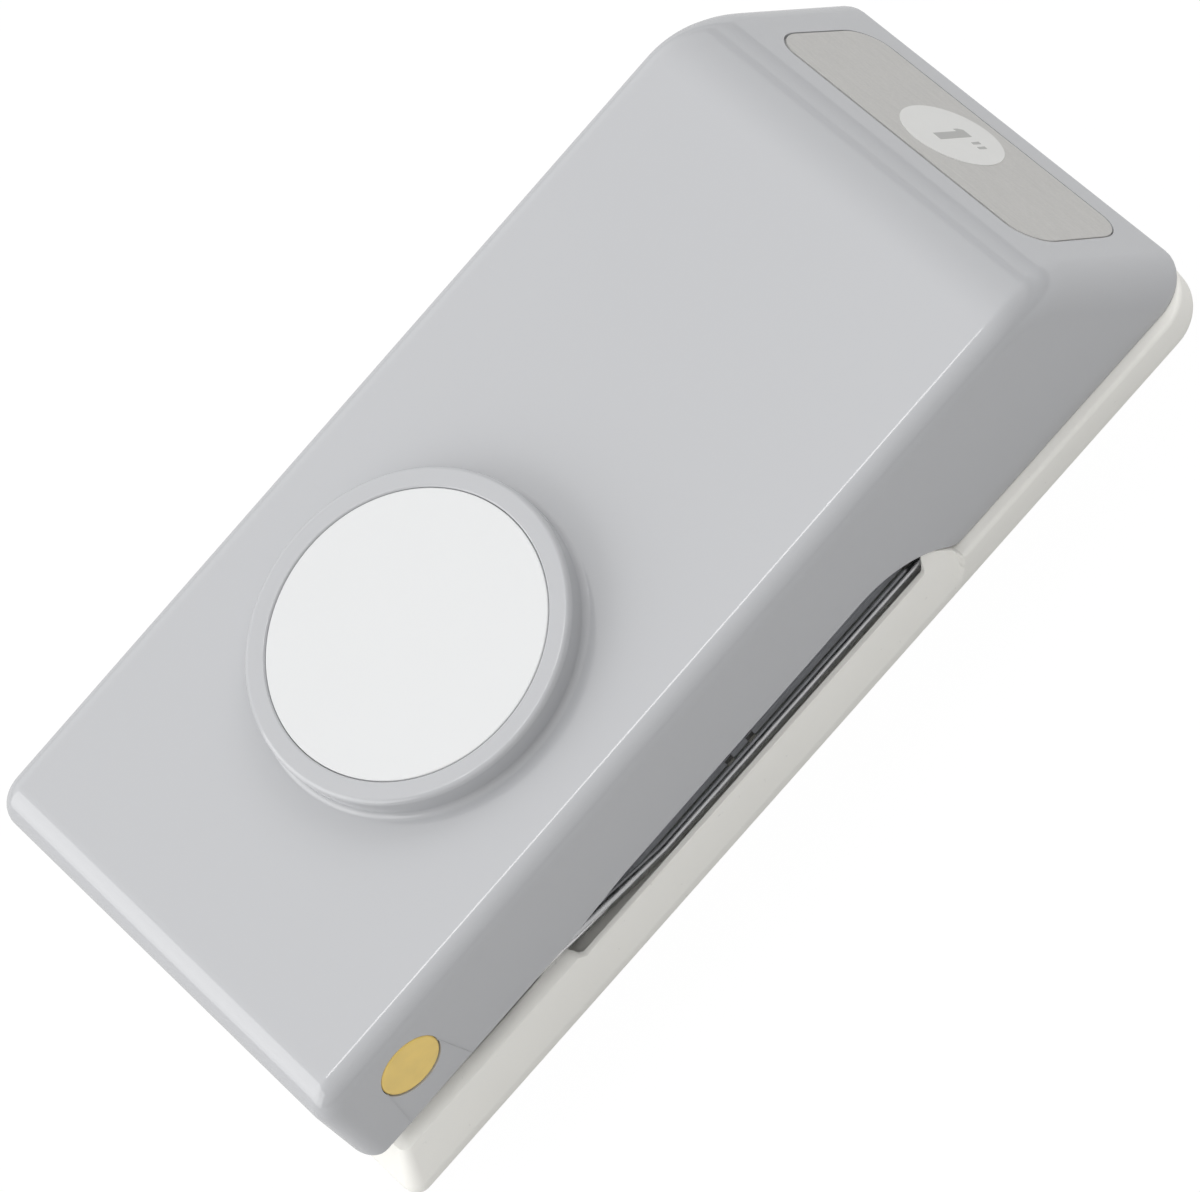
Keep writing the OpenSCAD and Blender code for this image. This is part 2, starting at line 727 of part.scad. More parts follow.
// Raised ring that frames the disc
module disc_ring() {
    ring_r = punch_d / 2 + ring_w;
    turn = 90 / steps;
    translate([disc_x, 0, lever_top]) rotate_extrude() polygon(concat(
        [[0, -lever_wall], [0, disc_rise - disc_t], [punch_d / 2 + fit, disc_rise - disc_t],
         [punch_d / 2 + fit, disc_rise + fit]],
        [for (i = [0:steps]) let (a = 90 - i * turn)
            [ring_r - ring_edge + ring_edge * cos(a), disc_rise + fit - ring_edge + ring_edge * sin(a)]],
        [for (i = [0:steps]) let (a = 180 + i * turn)
            [ring_r + ring_fillet + ring_fillet * cos(a), ring_fillet + ring_fillet * sin(a)]],
        [[ring_r + ring_fillet, -lever_wall]]));
}

// Ribs and pads inside the lever
module lever_ribs() {
    pad_bottom = tip_z + wire_d / 2 + tip_gap - pitch_rise(tip_x);
    pad_y = wire_y - wire_d / 2 - wire_gap;
    catch_low = catch_z - pitch_rise(catch_x);
    catch_back = catch_x + catch_nose_l;
    cross_low = punch_top + rib_lift - pitch_rise(punch_x);
    for (s = [0, 1]) mirror([0, s, 0]) {
        box([punch_x - rib_l / 2, rib_y, cross_low], [punch_x + rib_l / 2, rib_y + rib_t, lever_top]);
        box([tip_x - pad_l / 2, wire_y - tip_l, pad_bottom], [tip_x + pad_l / 2, pad_y, lever_top]);
    }
    box([catch_back, -post_w / 2, catch_low], [catch_back + catch_t, post_w / 2, lever_top]);
    box([catch_x, -post_w / 2, catch_low], [catch_back + eps, post_w / 2, catch_low + catch_nose_t]);
}

module lever_shell() {
    color(cool_grey) lever_pose() difference() {
        union() {
            difference() {
                lever_form(edge_r);
                lever_form(edge_r - lever_wall);
                lever_below();
            }
            disc_ring();
            intersection() {
                lever_ribs();
                lever_form(edge_r - lever_wall / 2);
            }
        }
        translate([disc_x, 0, roof_z - over])
            cylinder(h = lever_wall + over + disc_rise - disc_t - seat_t, d = punch_d - 2 * seat_rim);
        rod(pivot_x, pivot_h, -far, far, head_d + 2 * pivot_clear);
        rod(punch_x, cross_z - pitch_rise(punch_x), -cross_half - over, cross_half + over,
            cross_d + 2 * fit);
        on_slope() translate([plate_mid, 0, -plate_t - fit]) linear_extrude(far)
            plan(-plate_l / 2 - fit, plate_l / 2 + fit, plate_w + 2 * fit, plate_r, plate_r);
    }
}

module shape_disc() {
    color("white") lever_pose() translate([disc_x, 0, lever_top + disc_rise - disc_t])
        cylinder(h = disc_t, d = punch_d);
}

module size_plate() {
    color(warm_grey) lever_pose() on_slope() translate([plate_mid, 0, -plate_t - fit])
        linear_extrude(plate_t) plan(-plate_l / 2, plate_l / 2, plate_w, plate_r, plate_r);
}

module size_badge() {
    color("white") lever_pose() on_slope() translate([plate_mid, 0, -fit])
        cylinder(h = badge_t, d = badge_d);
}

module cross_pin() {
    color(bright_steel) lever_pose()
        rod(punch_x, cross_z - pitch_rise(punch_x), -cross_half, cross_half, cross_d);
}

// Punch

module punch_plug() {
    color(bright_steel) translate([punch_x, 0, punch_z]) difference() {
        cylinder(h = punch_top - punch_z, r = punch_r);
        // Hollow face leaves a cutting rim
        translate([0, 0, -over]) cylinder(h = face_depth + over, r = punch_r - rim_w);
        for (s = [-1, 1]) translate([s * punch_screw_x, 0, punch_floor])
            cylinder(h = far, d = punch_screw_d + 2 * fit);
    }
}

module punch_carrier() {
    slot_d = cross_d + 2 * slot_clear;
    neck_half = slot_run + slot_d / 2 + neck_wall;
    color(black) difference() {
        union() {
            translate([punch_x, 0, punch_top]) cylinder(h = cap_t, d = cap_d);
            box([punch_x - neck_half, -neck_w / 2, punch_top],
                [punch_x + neck_half, neck_w / 2, cross_z + slot_d / 2 + neck_top]);
        }
        for (s = [-1, 1]) rod(punch_x + s * slot_run, cross_z, -neck_w, neck_w, slot_d);
        box([punch_x - slot_run, -neck_w, cross_z - slot_d / 2],
            [punch_x + slot_run, neck_w, cross_z + slot_d / 2]);
        for (s = [-1, 1]) translate([punch_x + s * punch_screw_x, 0, punch_top - over])
            cylinder(h = far, d = punch_screw_d + 2 * fit);
    }
}

module punch_screws() {
    low = punch_z + punch_floor + screw_end_gap;
    head_z = punch_top + cap_t;
    color(bright_steel) for (s = [-1, 1]) translate([punch_x + s * punch_screw_x, 0, 0]) {
        translate([0, 0, low]) cylinder(h = head_z - low + eps, d = punch_screw_d);
        translate([0, 0, head_z]) cylinder(h = punch_screw_head_h, d = punch_screw_head_d);
    }
}

// Lock

module lock_slide() {
    mid = lock_x0 + lock_l / 2;
    color(yellow) union() {
        box([lock_x0, -lock_w / 2, lock_z], [lock_x1, lock_w / 2, lock_z + lock_t]);
        box([lock_x1 - post_t, -post_w / 2, lock_z], [lock_x1, post_w / 2, lock_post_top]);
        box([lock_x1 - eps, -post_w / 2, lock_post_top - nose_t], [nose_x, post_w / 2, lock_post_top]);
        box([mid - tab_l / 2, -tab_w / 2, tab_gap], [mid + tab_l / 2, tab_w / 2, lock_z + eps]);
    }
}

base_tray();
die_carrier();
die_plate();
front_spacer();
rear_spacer();
guide_block();
die_screws();
pivot_pin_left();
pivot_pin_right();
wire_keeper();
keeper_screws();
return_wire();
lever_shell();
shape_disc();
size_plate();
size_badge();
cross_pin();
punch_plug();
punch_carrier();
punch_screws();
lock_slide();
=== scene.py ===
import json
import math

import bmesh
import bpy
from mathutils import Matrix, Vector


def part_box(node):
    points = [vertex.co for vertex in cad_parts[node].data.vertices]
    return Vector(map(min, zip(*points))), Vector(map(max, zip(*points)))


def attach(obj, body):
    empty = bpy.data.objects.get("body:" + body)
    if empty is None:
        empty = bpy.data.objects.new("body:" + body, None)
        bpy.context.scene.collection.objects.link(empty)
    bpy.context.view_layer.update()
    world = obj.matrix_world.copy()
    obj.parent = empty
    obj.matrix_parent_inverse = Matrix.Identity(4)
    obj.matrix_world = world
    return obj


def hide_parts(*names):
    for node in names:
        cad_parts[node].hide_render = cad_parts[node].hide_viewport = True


bl_info = {
    "name": "Circle craft punch",
    "version": (1, 0, 0),
    "blender": (4, 5, 0),
    "location": "3D View > Sidebar > Punch",
    "description": "Builds the visible pieces of a lever-action circle punch around its solid frame",
    "category": "Object",
}

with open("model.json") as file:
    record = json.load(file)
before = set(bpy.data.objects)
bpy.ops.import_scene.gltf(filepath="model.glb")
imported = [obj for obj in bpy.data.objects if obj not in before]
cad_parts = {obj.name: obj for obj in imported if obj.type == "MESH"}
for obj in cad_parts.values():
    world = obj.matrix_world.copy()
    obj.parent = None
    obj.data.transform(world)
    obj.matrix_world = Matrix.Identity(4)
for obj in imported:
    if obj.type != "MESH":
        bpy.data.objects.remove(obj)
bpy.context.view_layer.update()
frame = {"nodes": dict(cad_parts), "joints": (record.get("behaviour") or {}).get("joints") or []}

MM = 0.001
SIDES = (-1, 1)
UP = Vector((0, 0, 1))
# Steps of the lever's curves: over its rear edge, from its top into its slope, and round its side edges
CROWN_STEPS = 10
BLEND_STEPS = 20
EDGE_STEPS = 9
# Steps of the base's wall: up its leaning side and over its upper edge
WALL_STEPS = 14
BROW_STEPS = 6
# Distance at which points merge, overshoot of cutting tools, and clearance of fits
WELD = 0.002 * MM
OVER = 1 * MM
FIT = 0.05 * MM
# Distance from the die set's front end to the front end of the lock's rails
LOCK_RUN = 22.25 * MM

# Places read from the solid frame
JOINTS = {joint["name"]: joint for joint in frame["joints"]}
PIVOT = Vector(JOINTS["lever_hinge"]["pos_m"])
BASE_LOW, BASE_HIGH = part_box("base_tray")
DIE_LOW, DIE_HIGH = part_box("die_plate")
WIRE_LOW, WIRE_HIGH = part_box("return_wire")
DISC_LOW, DISC_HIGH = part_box("shape_disc")
PIN_LOW, PIN_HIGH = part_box("pivot_pin_left")
LOCK_LOW, LOCK_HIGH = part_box("lock_slide")
PUNCH = (DIE_LOW + DIE_HIGH) / 2


# Settings that a user may change


def length(name, description, millimetres):
    return bpy.props.FloatProperty(
        name=name, description=description, default=millimetres * MM, unit="LENGTH", precision=5
    )


def angle(name, description, degrees):
    return bpy.props.FloatProperty(
        name=name, description=description, default=math.radians(degrees), subtype="ANGLE"
    )


def tint(name, description, colour):
    return bpy.props.FloatVectorProperty(
        name=name, description=description, default=colour, size=3, subtype="COLOR", min=0, max=1
    )


def amount(name, description, value):
    return bpy.props.FloatProperty(name=name, description=description, default=value, min=0)


class LeverSizes(bpy.types.PropertyGroup):
    side_ledge: length("Side ledge", "How far the base stands out past the lever's top", 1.55)
    draft: length("Draft", "Outward draft of each side over the skirt's depth", 0.3)
    skirt_depth: length("Skirt depth", "Depth of the sides below the top", 11.3)
    pivot_drop: length("Pivot drop", "Depth of the pivot below the top", 5.6)
    wall: length("Wall", "Thickness of the shell", 1.7)
    edge_round: length("Edge rounding", "Radius along the top's edges", 1.9)
    slope_angle: angle("Slope angle", "Angle of the front slope below level", 59)
    slope_run: length("Slope run", "Distance from the base's front to the slope's corner", 9.5)
    blend_round: length("Blend", "Radius that blends the top into the slope", 10)
    heel_round: length("Heel", "Rounding of the lower rear corner in side view", 1.5)
    rear_draft: length("Rear draft", "Draft of the rear face over the skirt's depth", 0.55)
    slope_edge: length("Slope edge", "Radius along the slope's edges", 3.8)
    throat_lift: length("Throat lift", "How far the sides are cut higher along the throat", 0.55)
    lift_run: length("Lift run", "Length over which the lower edge rises", 7)
    arch_round: length("Arch", "Radius of the arch over the throat's front end", 10)
    arch_back: length("Arch place", "Distance from the die's front end back to the arch's centre", 4.8)
    arch_foot: length("Arch foot", "Rounding where the arch meets the front's lower edge", 1.5)
    front_gap: length("Front gap", "Gap between the front's lower edge and the rim", 0.12)
    pitch: angle("Pitch", "Pitch of the closed lever, front up", 0.75)
    soft_edge: length("Soft edge", "Rounding of the moulded lower edges", 0.2)
    pin_gap: length("Pin gap", "Gap around each pin's head", 0.06)
    rear_round: length("Rear rounding", "Radius between the top and the rear end", 3.2)
    seam_width: length("Seam width", "Width of the mould seams below the pin", 0.13)
    seam_proud: length("Seam height", "Height of the mould seams below the pin", 0.05)


class BaseSizes(bpy.types.PropertyGroup):
    wall: length("Wall", "Wall beside the throat", 1.6)
    rear_wall: length("Rear wall", "Wall behind the throat", 2.6)
    floor: length("Floor", "Thickness of the floor", 1.5)
    foot: length("Foot", "Height of the plain band along the foot", 0.8)
    rim: length("Rim", "Height of the front rim", 3.2)
    throat: length("Throat", "Height of the wall beside the throat", 4.15)
    ridge: length("Ridge", "Height of the ridge along the rear wall", 4.6)
    rear: length("Rear", "Height of the ledge behind the throat", 4.95)
    lean: length("Lean", "How far the sides lean in from foot to ridge", 1.2)
    rear_lean: length("Rear lean", "How far the rear end leans in from foot to ridge", 2.3)
    ledge: length("Ledge", "How far the ledge above the ridge goes in", 1.3)
    ledge_taper: length("Ledge taper", "How much narrower the ledge is at its front end", 0.15)
    front_corner: length("Front corner", "Corner radius at the front", 4.5)
    rear_corner: length("Rear corner", "Corner radius at the rear", 1.5)
    scoop_round: length("Scoop", "Radius of the scoop beside the front block", 2.8)
    scoop_in: length("Scoop depth", "How far the scoop cuts into the front block", 2.7)
    scoop_edge: length("Scoop edge", "Width of the soft edge along the scoop", 0.18)
    tooth: length("Tooth", "How far the wall rises where it closes the throat's front end", 1.7)
    tooth_run: length("Tooth run", "Length over which the wall rises there", 1.2)
    tooth_place: length("Tooth place", "Distance of the rise's top past the throat's front end", 0.7)
    tooth_gap: length("Tooth gap", "Gap between that rise and the lever's arch", 0.2)
    rear_fade: length("Rear fade", "Length over which the sides follow the rear end's lean", 8)
    throat_margin: length("Throat margin", "Length of the throat past the die set", 1)
    rim_round: length("Rim rounding", "Rounding of the rim's outer edge", 0.4)
    foot_round: length("Foot rounding", "Rounding of the lower edge", 0.12)
    throat_round: length("Throat edge", "Rounding along the top of the throat's wall", 0.1)


class TrimSizes(bpy.types.PropertyGroup):
    disc_rise: length("Disc rise", "Height of the disc above the lever's top", 2.75)
    disc_thickness: length("Disc thickness", "Thickness of the disc", 0.8)
    disc_edge: length("Disc edge", "Rounding of the disc's edge", 0.12)
    ring_width: length("Ring width", "Width of the ring around the disc", 1.95)
    ring_edge: length("Ring edge", "Rounding of the ring's outer edge", 0.5)
    ring_fillet: length("Ring fillet", "Fillet at the foot of the ring", 0.55)
    plate_length: length("Plate length", "Length of the size plate down the slope", 12.1)
    plate_over: length("Plate reach", "How far the plate's upper edge reaches over the blend", 0.9)
    plate_width: length("Plate width", "Width of the size plate", 32.4)
    plate_thickness: length("Plate thickness", "Thickness of the size plate", 0.5)
    plate_corner: length("Plate corner", "Corner radius of the size plate", 3)
    plate_gap: length("Plate gap", "Gap around the size plate", 0.16)
    plate_slip: length("Plate slip", "How far the plate sits down the slope in its recess", 0.07)
    plate_proud: length("Plate height", "Height of the plate's face above the slope", 0.02)
    badge: length("Badge", "Diameter of the round badge", 9.4)
    badge_low: length("Badge drop", "Distance of the badge below the plate's middle", 0.2)
    badge_aside: length("Badge shift", "Distance of the badge to the right of the plate's middle", 0.3)
    badge_thickness: length("Badge thickness", "Thickness of the badge's print", 0.05)
    numeral_height: length("Numeral height", "Height of the size numeral", 3.95)
    pin_edge: length("Pin edge", "Rounding of the pin's face", 0.22)
    screw_head: length("Screw head", "Diameter of the screw heads", 4.2)
    screw_shank: length("Screw shank", "Diameter of the screws", 2.5)
    screw_rise: length("Screw head height", "Height of the screw heads", 0.9)


class WireSizes(bpy.types.PropertyGroup):
    thickness: length("Thickness", "Diameter of the wire", 1.2)
    bend: length("Bend", "Radius of the wire's square bends", 1.5)
    leg: length("Leg", "Length of the straight leg behind the cross bar", 31.4)
    rise_angle: angle("Rise angle", "Angle of the rise toward the hinge", 10.5)
    rise_round: length("Rise rounding", "Radius where the leg turns up", 6)
    tip: length("Tip", "Length of the inturned tips", 4.5)


class FinishColours(bpy.types.PropertyGroup):
    lever: tint("Lever", "Cool grey of the lever", (0.485, 0.491, 0.506))
    base: tint("Base", "Warm off-white of the base", (0.953, 0.942, 0.894))
    disc: tint("Disc", "White of the shape disc", (0.705, 0.712, 0.715))
    plate: tint("Plate", "Warm grey of the size plate", (0.608, 0.6, 0.582))
    badge: tint("Badge", "White of the badge", (0.71, 0.71, 0.696))
    numeral: tint("Numeral", "Grey of the numeral", (0.44, 0.44, 0.43))
    pin: tint("Pin", "Yellow of the pins and the lock", (0.9, 0.65, 0.185))
    wire: tint("Wire", "Steel of the return wire", (0.95, 0.955, 0.97))
    dark_steel: tint("Dark steel", "Steel of the die set", (0.66, 0.67, 0.69))
    bright_steel: tint("Bright steel", "Ground steel of cutter and screws", (0.5, 0.505, 0.52))
    black: tint("Black", "Black moulded plastic", (0.02, 0.02, 0.021))


class StageSettings(bpy.types.PropertyGroup):
    azimuth: angle("Azimuth", "Camera's turn round the object", -0.4688)
    elevation: angle("Elevation", "Camera's height above the horizon", 58.0288)
    roll: angle("Roll", "Camera's roll about its line of sight", -48.0024)
    lens: bpy.props.FloatProperty(
        name="Lens", description="Focal length on a 36 mm sensor", default=214.456, min=1
    )
    place: bpy.props.FloatVectorProperty(
        name="Place", description="Camera's place", default=(-0.00482, -0.31619, 0.50963), subtype="XYZ"
    )
    room: amount("Room", "Brightness of the room behind and above", 1.05)
    front: amount("Front", "Brightness of the room on the camera's side", 0.5)
    horizon: amount("Horizon", "Share of that brightness left at the horizon", 0.06)
    left: amount("Left light", "Power of the light behind the hinge", 3.5)
    right: amount("Right light", "Power of the light before the slope", 1.12)
    over: amount("Overhead light", "Power of the soft light overhead", 0.98)
    strip: amount("Strip light", "Power of the strip that draws a line along the side edge", 0.26)
    shine: amount("Floor shine", "Brightness of the floor in reflections", 0.66)


# Modelling helpers


def ease(value):
    """A smooth step from 0 to 1."""
    value = min(1.0, max(0.0, value))
    return value * value * (3 - 2 * value)


def deselect():
    if bpy.context.mode != "OBJECT":
        bpy.ops.object.mode_set(mode="OBJECT")
    bpy.ops.object.select_all(action="DESELECT")


def pick(*pieces):
    """Selects only these pieces; the first becomes the active one."""
    deselect()
    for piece in pieces:
        piece.select_set(True)
    bpy.context.view_layer.objects.active = pieces[0]


def set_ring(piece, ring):
    """Puts the selected vertices at a ring's points, by the number that each one carries."""
    mesh = bmesh.from_edit_mesh(piece.data)
    number = mesh.verts.layers.int["ring_place"]
    for vertex in mesh.verts:
        if vertex.select:
            vertex.co = ring[vertex[number]]
    bmesh.update_edit_mesh(piece.data)


def stack(name, rings):
    """A closed solid: a filled circle that is shaped to the first ring and extruded from ring to ring."""
    deselect()
    bpy.ops.mesh.primitive_circle_add(vertices=len(rings[0]), fill_type="NGON")
    piece = bpy.context.active_object
    piece.name = name
    bpy.ops.object.mode_set(mode="EDIT")
    mesh = bmesh.from_edit_mesh(piece.data)
    number = mesh.verts.layers.int.new("ring_place")
    mesh.verts.ensure_lookup_table()
    for place, vertex in enumerate(mesh.verts):
        vertex[number] = place
    set_ring(piece, rings[0])
    for ring in rings[1:]:
        bpy.ops.mesh.extrude_region_move()
        set_ring(piece, ring)
    bpy.ops.mesh.select_all(action="SELECT")
    bpy.ops.mesh.normals_make_consistent(inside=False)
    bpy.ops.object.mode_set(mode="OBJECT")
    return piece


def lathe(name, profile, segments=96):
    """A turned solid about Z from (radius, height) points."""
    turns = [2 * math.pi * i / segments for i in range(segments)]
    return stack(name, [[Vector((r * math.cos(a), r * math.sin(a), z)) for a in turns] for r, z in profile])


def block(name, low, high):
    """A box between two corners."""
    corners = ((low[0], low[1]), (high[0], low[1]), (high[0], high[1]), (low[0], high[1]))
    return stack(name, [[Vector((x, y, z)) for x, y in corners] for z in (low[2], high[2])])


def shift(x, y, z):
    """A move along the three axes."""
    return Matrix.Translation(Vector((x, y, z)))


def span(side, inner, outer):
    """The lower and the upper y of a stretch on one side of the middle."""
    return sorted((side * inner, side * outer))


def place_at(piece, matrix):
    """Moves a piece and keeps its new place in its mesh."""
    piece.matrix_world = matrix
    pick(piece)
    bpy.ops.object.transform_apply(location=True, rotation=True, scale=True)


def modify(piece, kind, **settings):
    """Adds a modifier and applies it."""
    pick(piece)
    modifier = piece.modifiers.new(kind.lower(), kind)
    for key, value in settings.items():
        setattr(modifier, key, value)
    bpy.ops.object.modifier_apply(modifier=modifier.name)


def combine(piece, tool, operation):
    """Cuts a tool out of a piece, or adds it, and throws the tool away."""
    modify(piece, "BOOLEAN", object=tool, operation=operation, solver="EXACT")
    bpy.data.objects.remove(tool)


def cut(piece, tool):
    combine(piece, tool, "DIFFERENCE")


def add(piece, tool):
    combine(piece, tool, "UNION")


def soften(piece, width, sharp=40):
    """Merges doubles and rounds every edge that is sharper than an angle in degrees."""
    pick(piece)
    bpy.ops.object.mode_set(mode="EDIT")
    bpy.ops.mesh.select_all(action="SELECT")
    bpy.ops.mesh.remove_doubles(threshold=WELD)
    bpy.ops.mesh.dissolve_degenerate(threshold=WELD / 2)
    bpy.ops.object.mode_set(mode="OBJECT")
    modify(piece, "BEVEL", width=width, segments=2, limit_method="ANGLE", angle_limit=math.radians(sharp))


def smooth(piece, sharp=35):
    """Shades a piece smooth, with its flat faces kept flat."""
    pick(piece)
    bpy.ops.object.shade_smooth_by_angle(angle=math.radians(sharp))
    modify(piece, "WEIGHTED_NORMAL", keep_sharp=True)


def clean_layers(piece):
    """Removes the ring numbers that the helpers leave on a mesh."""
    layer = piece.data.attributes.get("ring_place")
    if layer:
        piece.data.attributes.remove(layer)


def hand_over(piece, body, material, slot, *nodes):
    """Gives a finished piece its finish, its body and the solids that it stands for."""
    clean_layers(piece)
    piece.data.materials.clear()
    piece.data.materials.append(material)
    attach(piece, body)
    if nodes:
        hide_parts(*nodes)


def arc(centre, radius, start, end, steps):
    """Points of a flat arc; the angles are in degrees."""
    turns = [math.radians(start + (end - start) * i / steps) for i in range(steps + 1)]
    return [(centre[0] + radius * math.cos(a), centre[1] + radius * math.sin(a)) for a in turns]


def round_box(half_x, half_y, radius, steps=8):
    """Outline of a rounded rectangle about the origin."""
    points = []
    for turn, (sx, sy) in enumerate(((1, 1), (-1, 1), (-1, -1), (1, -1))):
        centre = (sx * (half_x - radius), sy * (half_y - radius))
        points += arc(centre, radius, 90 * turn, 90 * turn + 90, steps)
    return points


# Frames of the lever and of its slope


def lever_top(lever):
    return PIVOT.z + lever.pivot_drop


def lever_half(lever, z):
    """Half-width of the level lever at a height."""
    drop = (lever_top(lever) - z) / lever.skirt_depth
    return BASE_HIGH.y - lever.side_ledge + lever.draft * drop


def pitch_matrix(lever):
    """Turns the level lever to its closed pitch about the pivot."""
    turn = Matrix.Rotation(-lever.pitch, 4, "Y")
    return Matrix.Translation(PIVOT) @ turn @ Matrix.Translation(-PIVOT)


def slope_matrix(lever):
    """Frame on the slope of the level lever: X down it and Z out of it."""
    corner = Vector((BASE_HIGH.x - lever.slope_run, 0, lever_top(lever)))
    return Matrix.Translation(corner) @ Matrix.Rotation(lever.slope_angle, 4, "Y")


def plate_middle(lever, trim):
    """Distance of the size plate's middle down the slope."""
    return lever.blend_round * math.tan(lever.slope_angle / 2) - trim.plate_over + trim.plate_length / 2


def disc_frame(lever):
    """Foot of the disc's axis on the level lever's top."""
    middle = pitch_matrix(lever).inverted() @ ((DISC_LOW + DISC_HIGH) / 2)
    return shift(middle.x, 0, lever_top(lever))


# Finishes


class Socket:
    """An output of a finish; sums and products of sockets become Math nodes."""

    def __init__(self, paint, output):
        self.paint = paint
        self.output = output

    def math(self, operation, first, second):
        return self.paint.node("ShaderNodeMath", {"operation": operation}, {0: first, 1: second})

    def __add__(self, other):
        return self.math("ADD", self, other)

    __radd__ = __add__

    def __sub__(self, other):
        return self.math("SUBTRACT", self, other)

    def __rsub__(self, other):
        return self.math("SUBTRACT", other, self)

    def __mul__(self, other):
        return self.math("MULTIPLY", self, other)

    __rmul__ = __mul__


class Paint:
    """A node tree with one way to add any node and one way to mix colours."""

    def __init__(self, tree):
        self.tree = tree

    def feed(self, socket, value):
        if isinstance(value, Socket):
            self.tree.links.new(value.output, socket)
        else:
            socket.default_value = value

    def node(self, kind, settings=None, inputs=None, output=0):
        """Adds a node, with its settings set before its inputs, and hands back one of its outputs."""
        node = self.tree.nodes.new(kind)
        for key, value in (settings or {}).items():
            setattr(node, key, value)
        for key, value in (inputs or {}).items():
            self.feed(node.inputs[key], value)
        return Socket(self, node.outputs[output]) if node.outputs else None

    def mix(self, factor, first, second):
        inputs = {0: factor, 6: first, 7: second}
        return self.node("ShaderNodeMix", {"data_type": "RGBA"}, inputs, output=2)

    def vary(self, factor, colour, low, high):
        """A colour that goes from one gain to another."""
        return self.mix(factor, rgba(colour, low), rgba(colour, high))

    def noise(self, scale, detail=3.0, stretch=(1, 1, 1), rough=0.5):
        """Noise on Object coordinates; scale counts features in a metre."""
        place = self.node("ShaderNodeTexCoord", output="Object")
        spread = self.node("ShaderNodeMapping", None, {"Vector": place, "Scale": stretch})
        inputs = {"Vector": spread, "Scale": scale, "Detail": detail, "Roughness": rough}
        return self.node("ShaderNodeTexNoise", None, inputs)

    def ramp(self, value, low, high):
        """A value stretched so that low becomes 0 and high becomes 1."""
        inputs = {0: value, 1: low, 2: high}
        return self.node("ShaderNodeMapRange", {"clamp": True}, inputs)


class Finish(Paint):
    """A Principled material that is painted through sockets."""

    def __init__(self, name):
        self.material = bpy.data.materials.new(name)
        self.material.use_nodes = True
        super().__init__(self.material.node_tree)
        self.shader = self.tree.nodes["Principled BSDF"]

    def set(self, **values):
        """Sets the shader's sockets; an underscore stands for a space."""
        for key, value in values.items():
            self.feed(self.shader.inputs[key.replace("_", " ")], value)

    def bump(self, height, strength, distance):
        inputs = {"Height": height, "Strength": strength, "Distance": distance}
        self.set(Normal=self.node("ShaderNodeBump", None, inputs))


def rgba(colour, gain=1.0):
    return (colour[0] * gain, colour[1] * gain, colour[2] * gain, 1)


def finish_lever(colours):
    """Glossy moulded plastic with a faint flow pattern and orange peel."""
    finish = Finish("lever_grey")
    flow = finish.noise(30, 1.0)
    peel = finish.noise(1500, 2.0)
    finish.set(
        Base_Color=finish.vary(flow, colours.lever, 0.985, 1.015),
        Roughness=0.06 + 0.02 * flow,
        IOR=1.65,
    )
    finish.bump(peel, 0.03, 0.03 * MM)
    return finish.material


def finish_base(colours):
    """Satin off-white plastic, a little mottled and with fine specks."""
    finish = Finish("base_white")
    mottle = finish.ramp(finish.noise(60, 5.0), 0.3, 0.72)
    speck = finish.ramp(finish.noise(1900, 1.0), 0.74, 0.8)
    grain = finish.noise(5200, 3.0)
    plain = finish.vary(mottle, colours.base, 0.975, 1.01)
    finish.set(
        Base_Color=finish.mix(0.16 * speck, plain, rgba(colours.base, 0.45)),
        Roughness=0.46 + 0.08 * mottle,
        IOR=1.48,
    )
    finish.bump(grain, 0.05, 0.03 * MM)
    return finish.material


def finish_disc(colours):
    """Smooth white laminate."""
    finish = Finish("disc_white")
    cloud = finish.noise(90, 3.0)
    finish.set(
        Base_Color=finish.vary(cloud, colours.disc, 0.99, 1.01),
        Roughness=0.3 + 0.08 * cloud,
    )
    finish.bump(finish.noise(2500, 2.0), 0.02, 0.02 * MM)
    return finish.material


def finish_plate(colours):
    """Brushed metal with short lines along the plate and a fine grain."""
    finish = Finish("plate_brushed")
    brush = finish.noise(300, 3.0, stretch=(14, 1, 14), rough=0.7)
    grain = finish.noise(4200, 2.0)
    line = finish.ramp(0.6 * brush + 0.4 * grain, 0.32, 0.68)
    finish.set(
        Base_Color=finish.vary(line, colours.plate, 0.92, 1.07),
        Roughness=0.42 + 0.14 * line,
        Metallic=0.35,
    )
    finish.bump(line, 0.06, 0.02 * MM)
    return finish.material


def finish_print(name, colour):
    """Flat printed ink with a slightly uneven tone."""
    finish = Finish(name)
    tone = finish.noise(900, 3.0)
    finish.set(
        Base_Color=finish.vary(tone, colour, 0.98, 1.02),
        Roughness=0.5 + 0.1 * tone,
    )
    return finish.material


def finish_pin(colours):
    """Yellow moulded plastic with a soft sheen."""
    finish = Finish("pin_yellow")
    tone = finish.ramp(finish.noise(420, 4.0), 0.3, 0.7)
    finish.set(
        Base_Color=finish.vary(tone, colours.pin, 0.95, 1.05),
        Roughness=0.34 + 0.1 * tone,
    )
    finish.bump(finish.noise(3000, 2.0), 0.04, 0.03 * MM)
    return finish.material


def finish_steel(name, colour, roughness, stretch):
    """Steel with drawn or ground lines along one direction."""
    finish = Finish(name)
    line = finish.ramp(finish.noise(260, 4.0, stretch=stretch, rough=0.65), 0.3, 0.7)
    finish.set(
        Base_Color=finish.vary(line, colour, 0.82, 1.12),
        Roughness=roughness + 0.12 * line,
        Metallic=1.0,
    )
    finish.bump(line, 0.05, 0.02 * MM)
    return finish.material


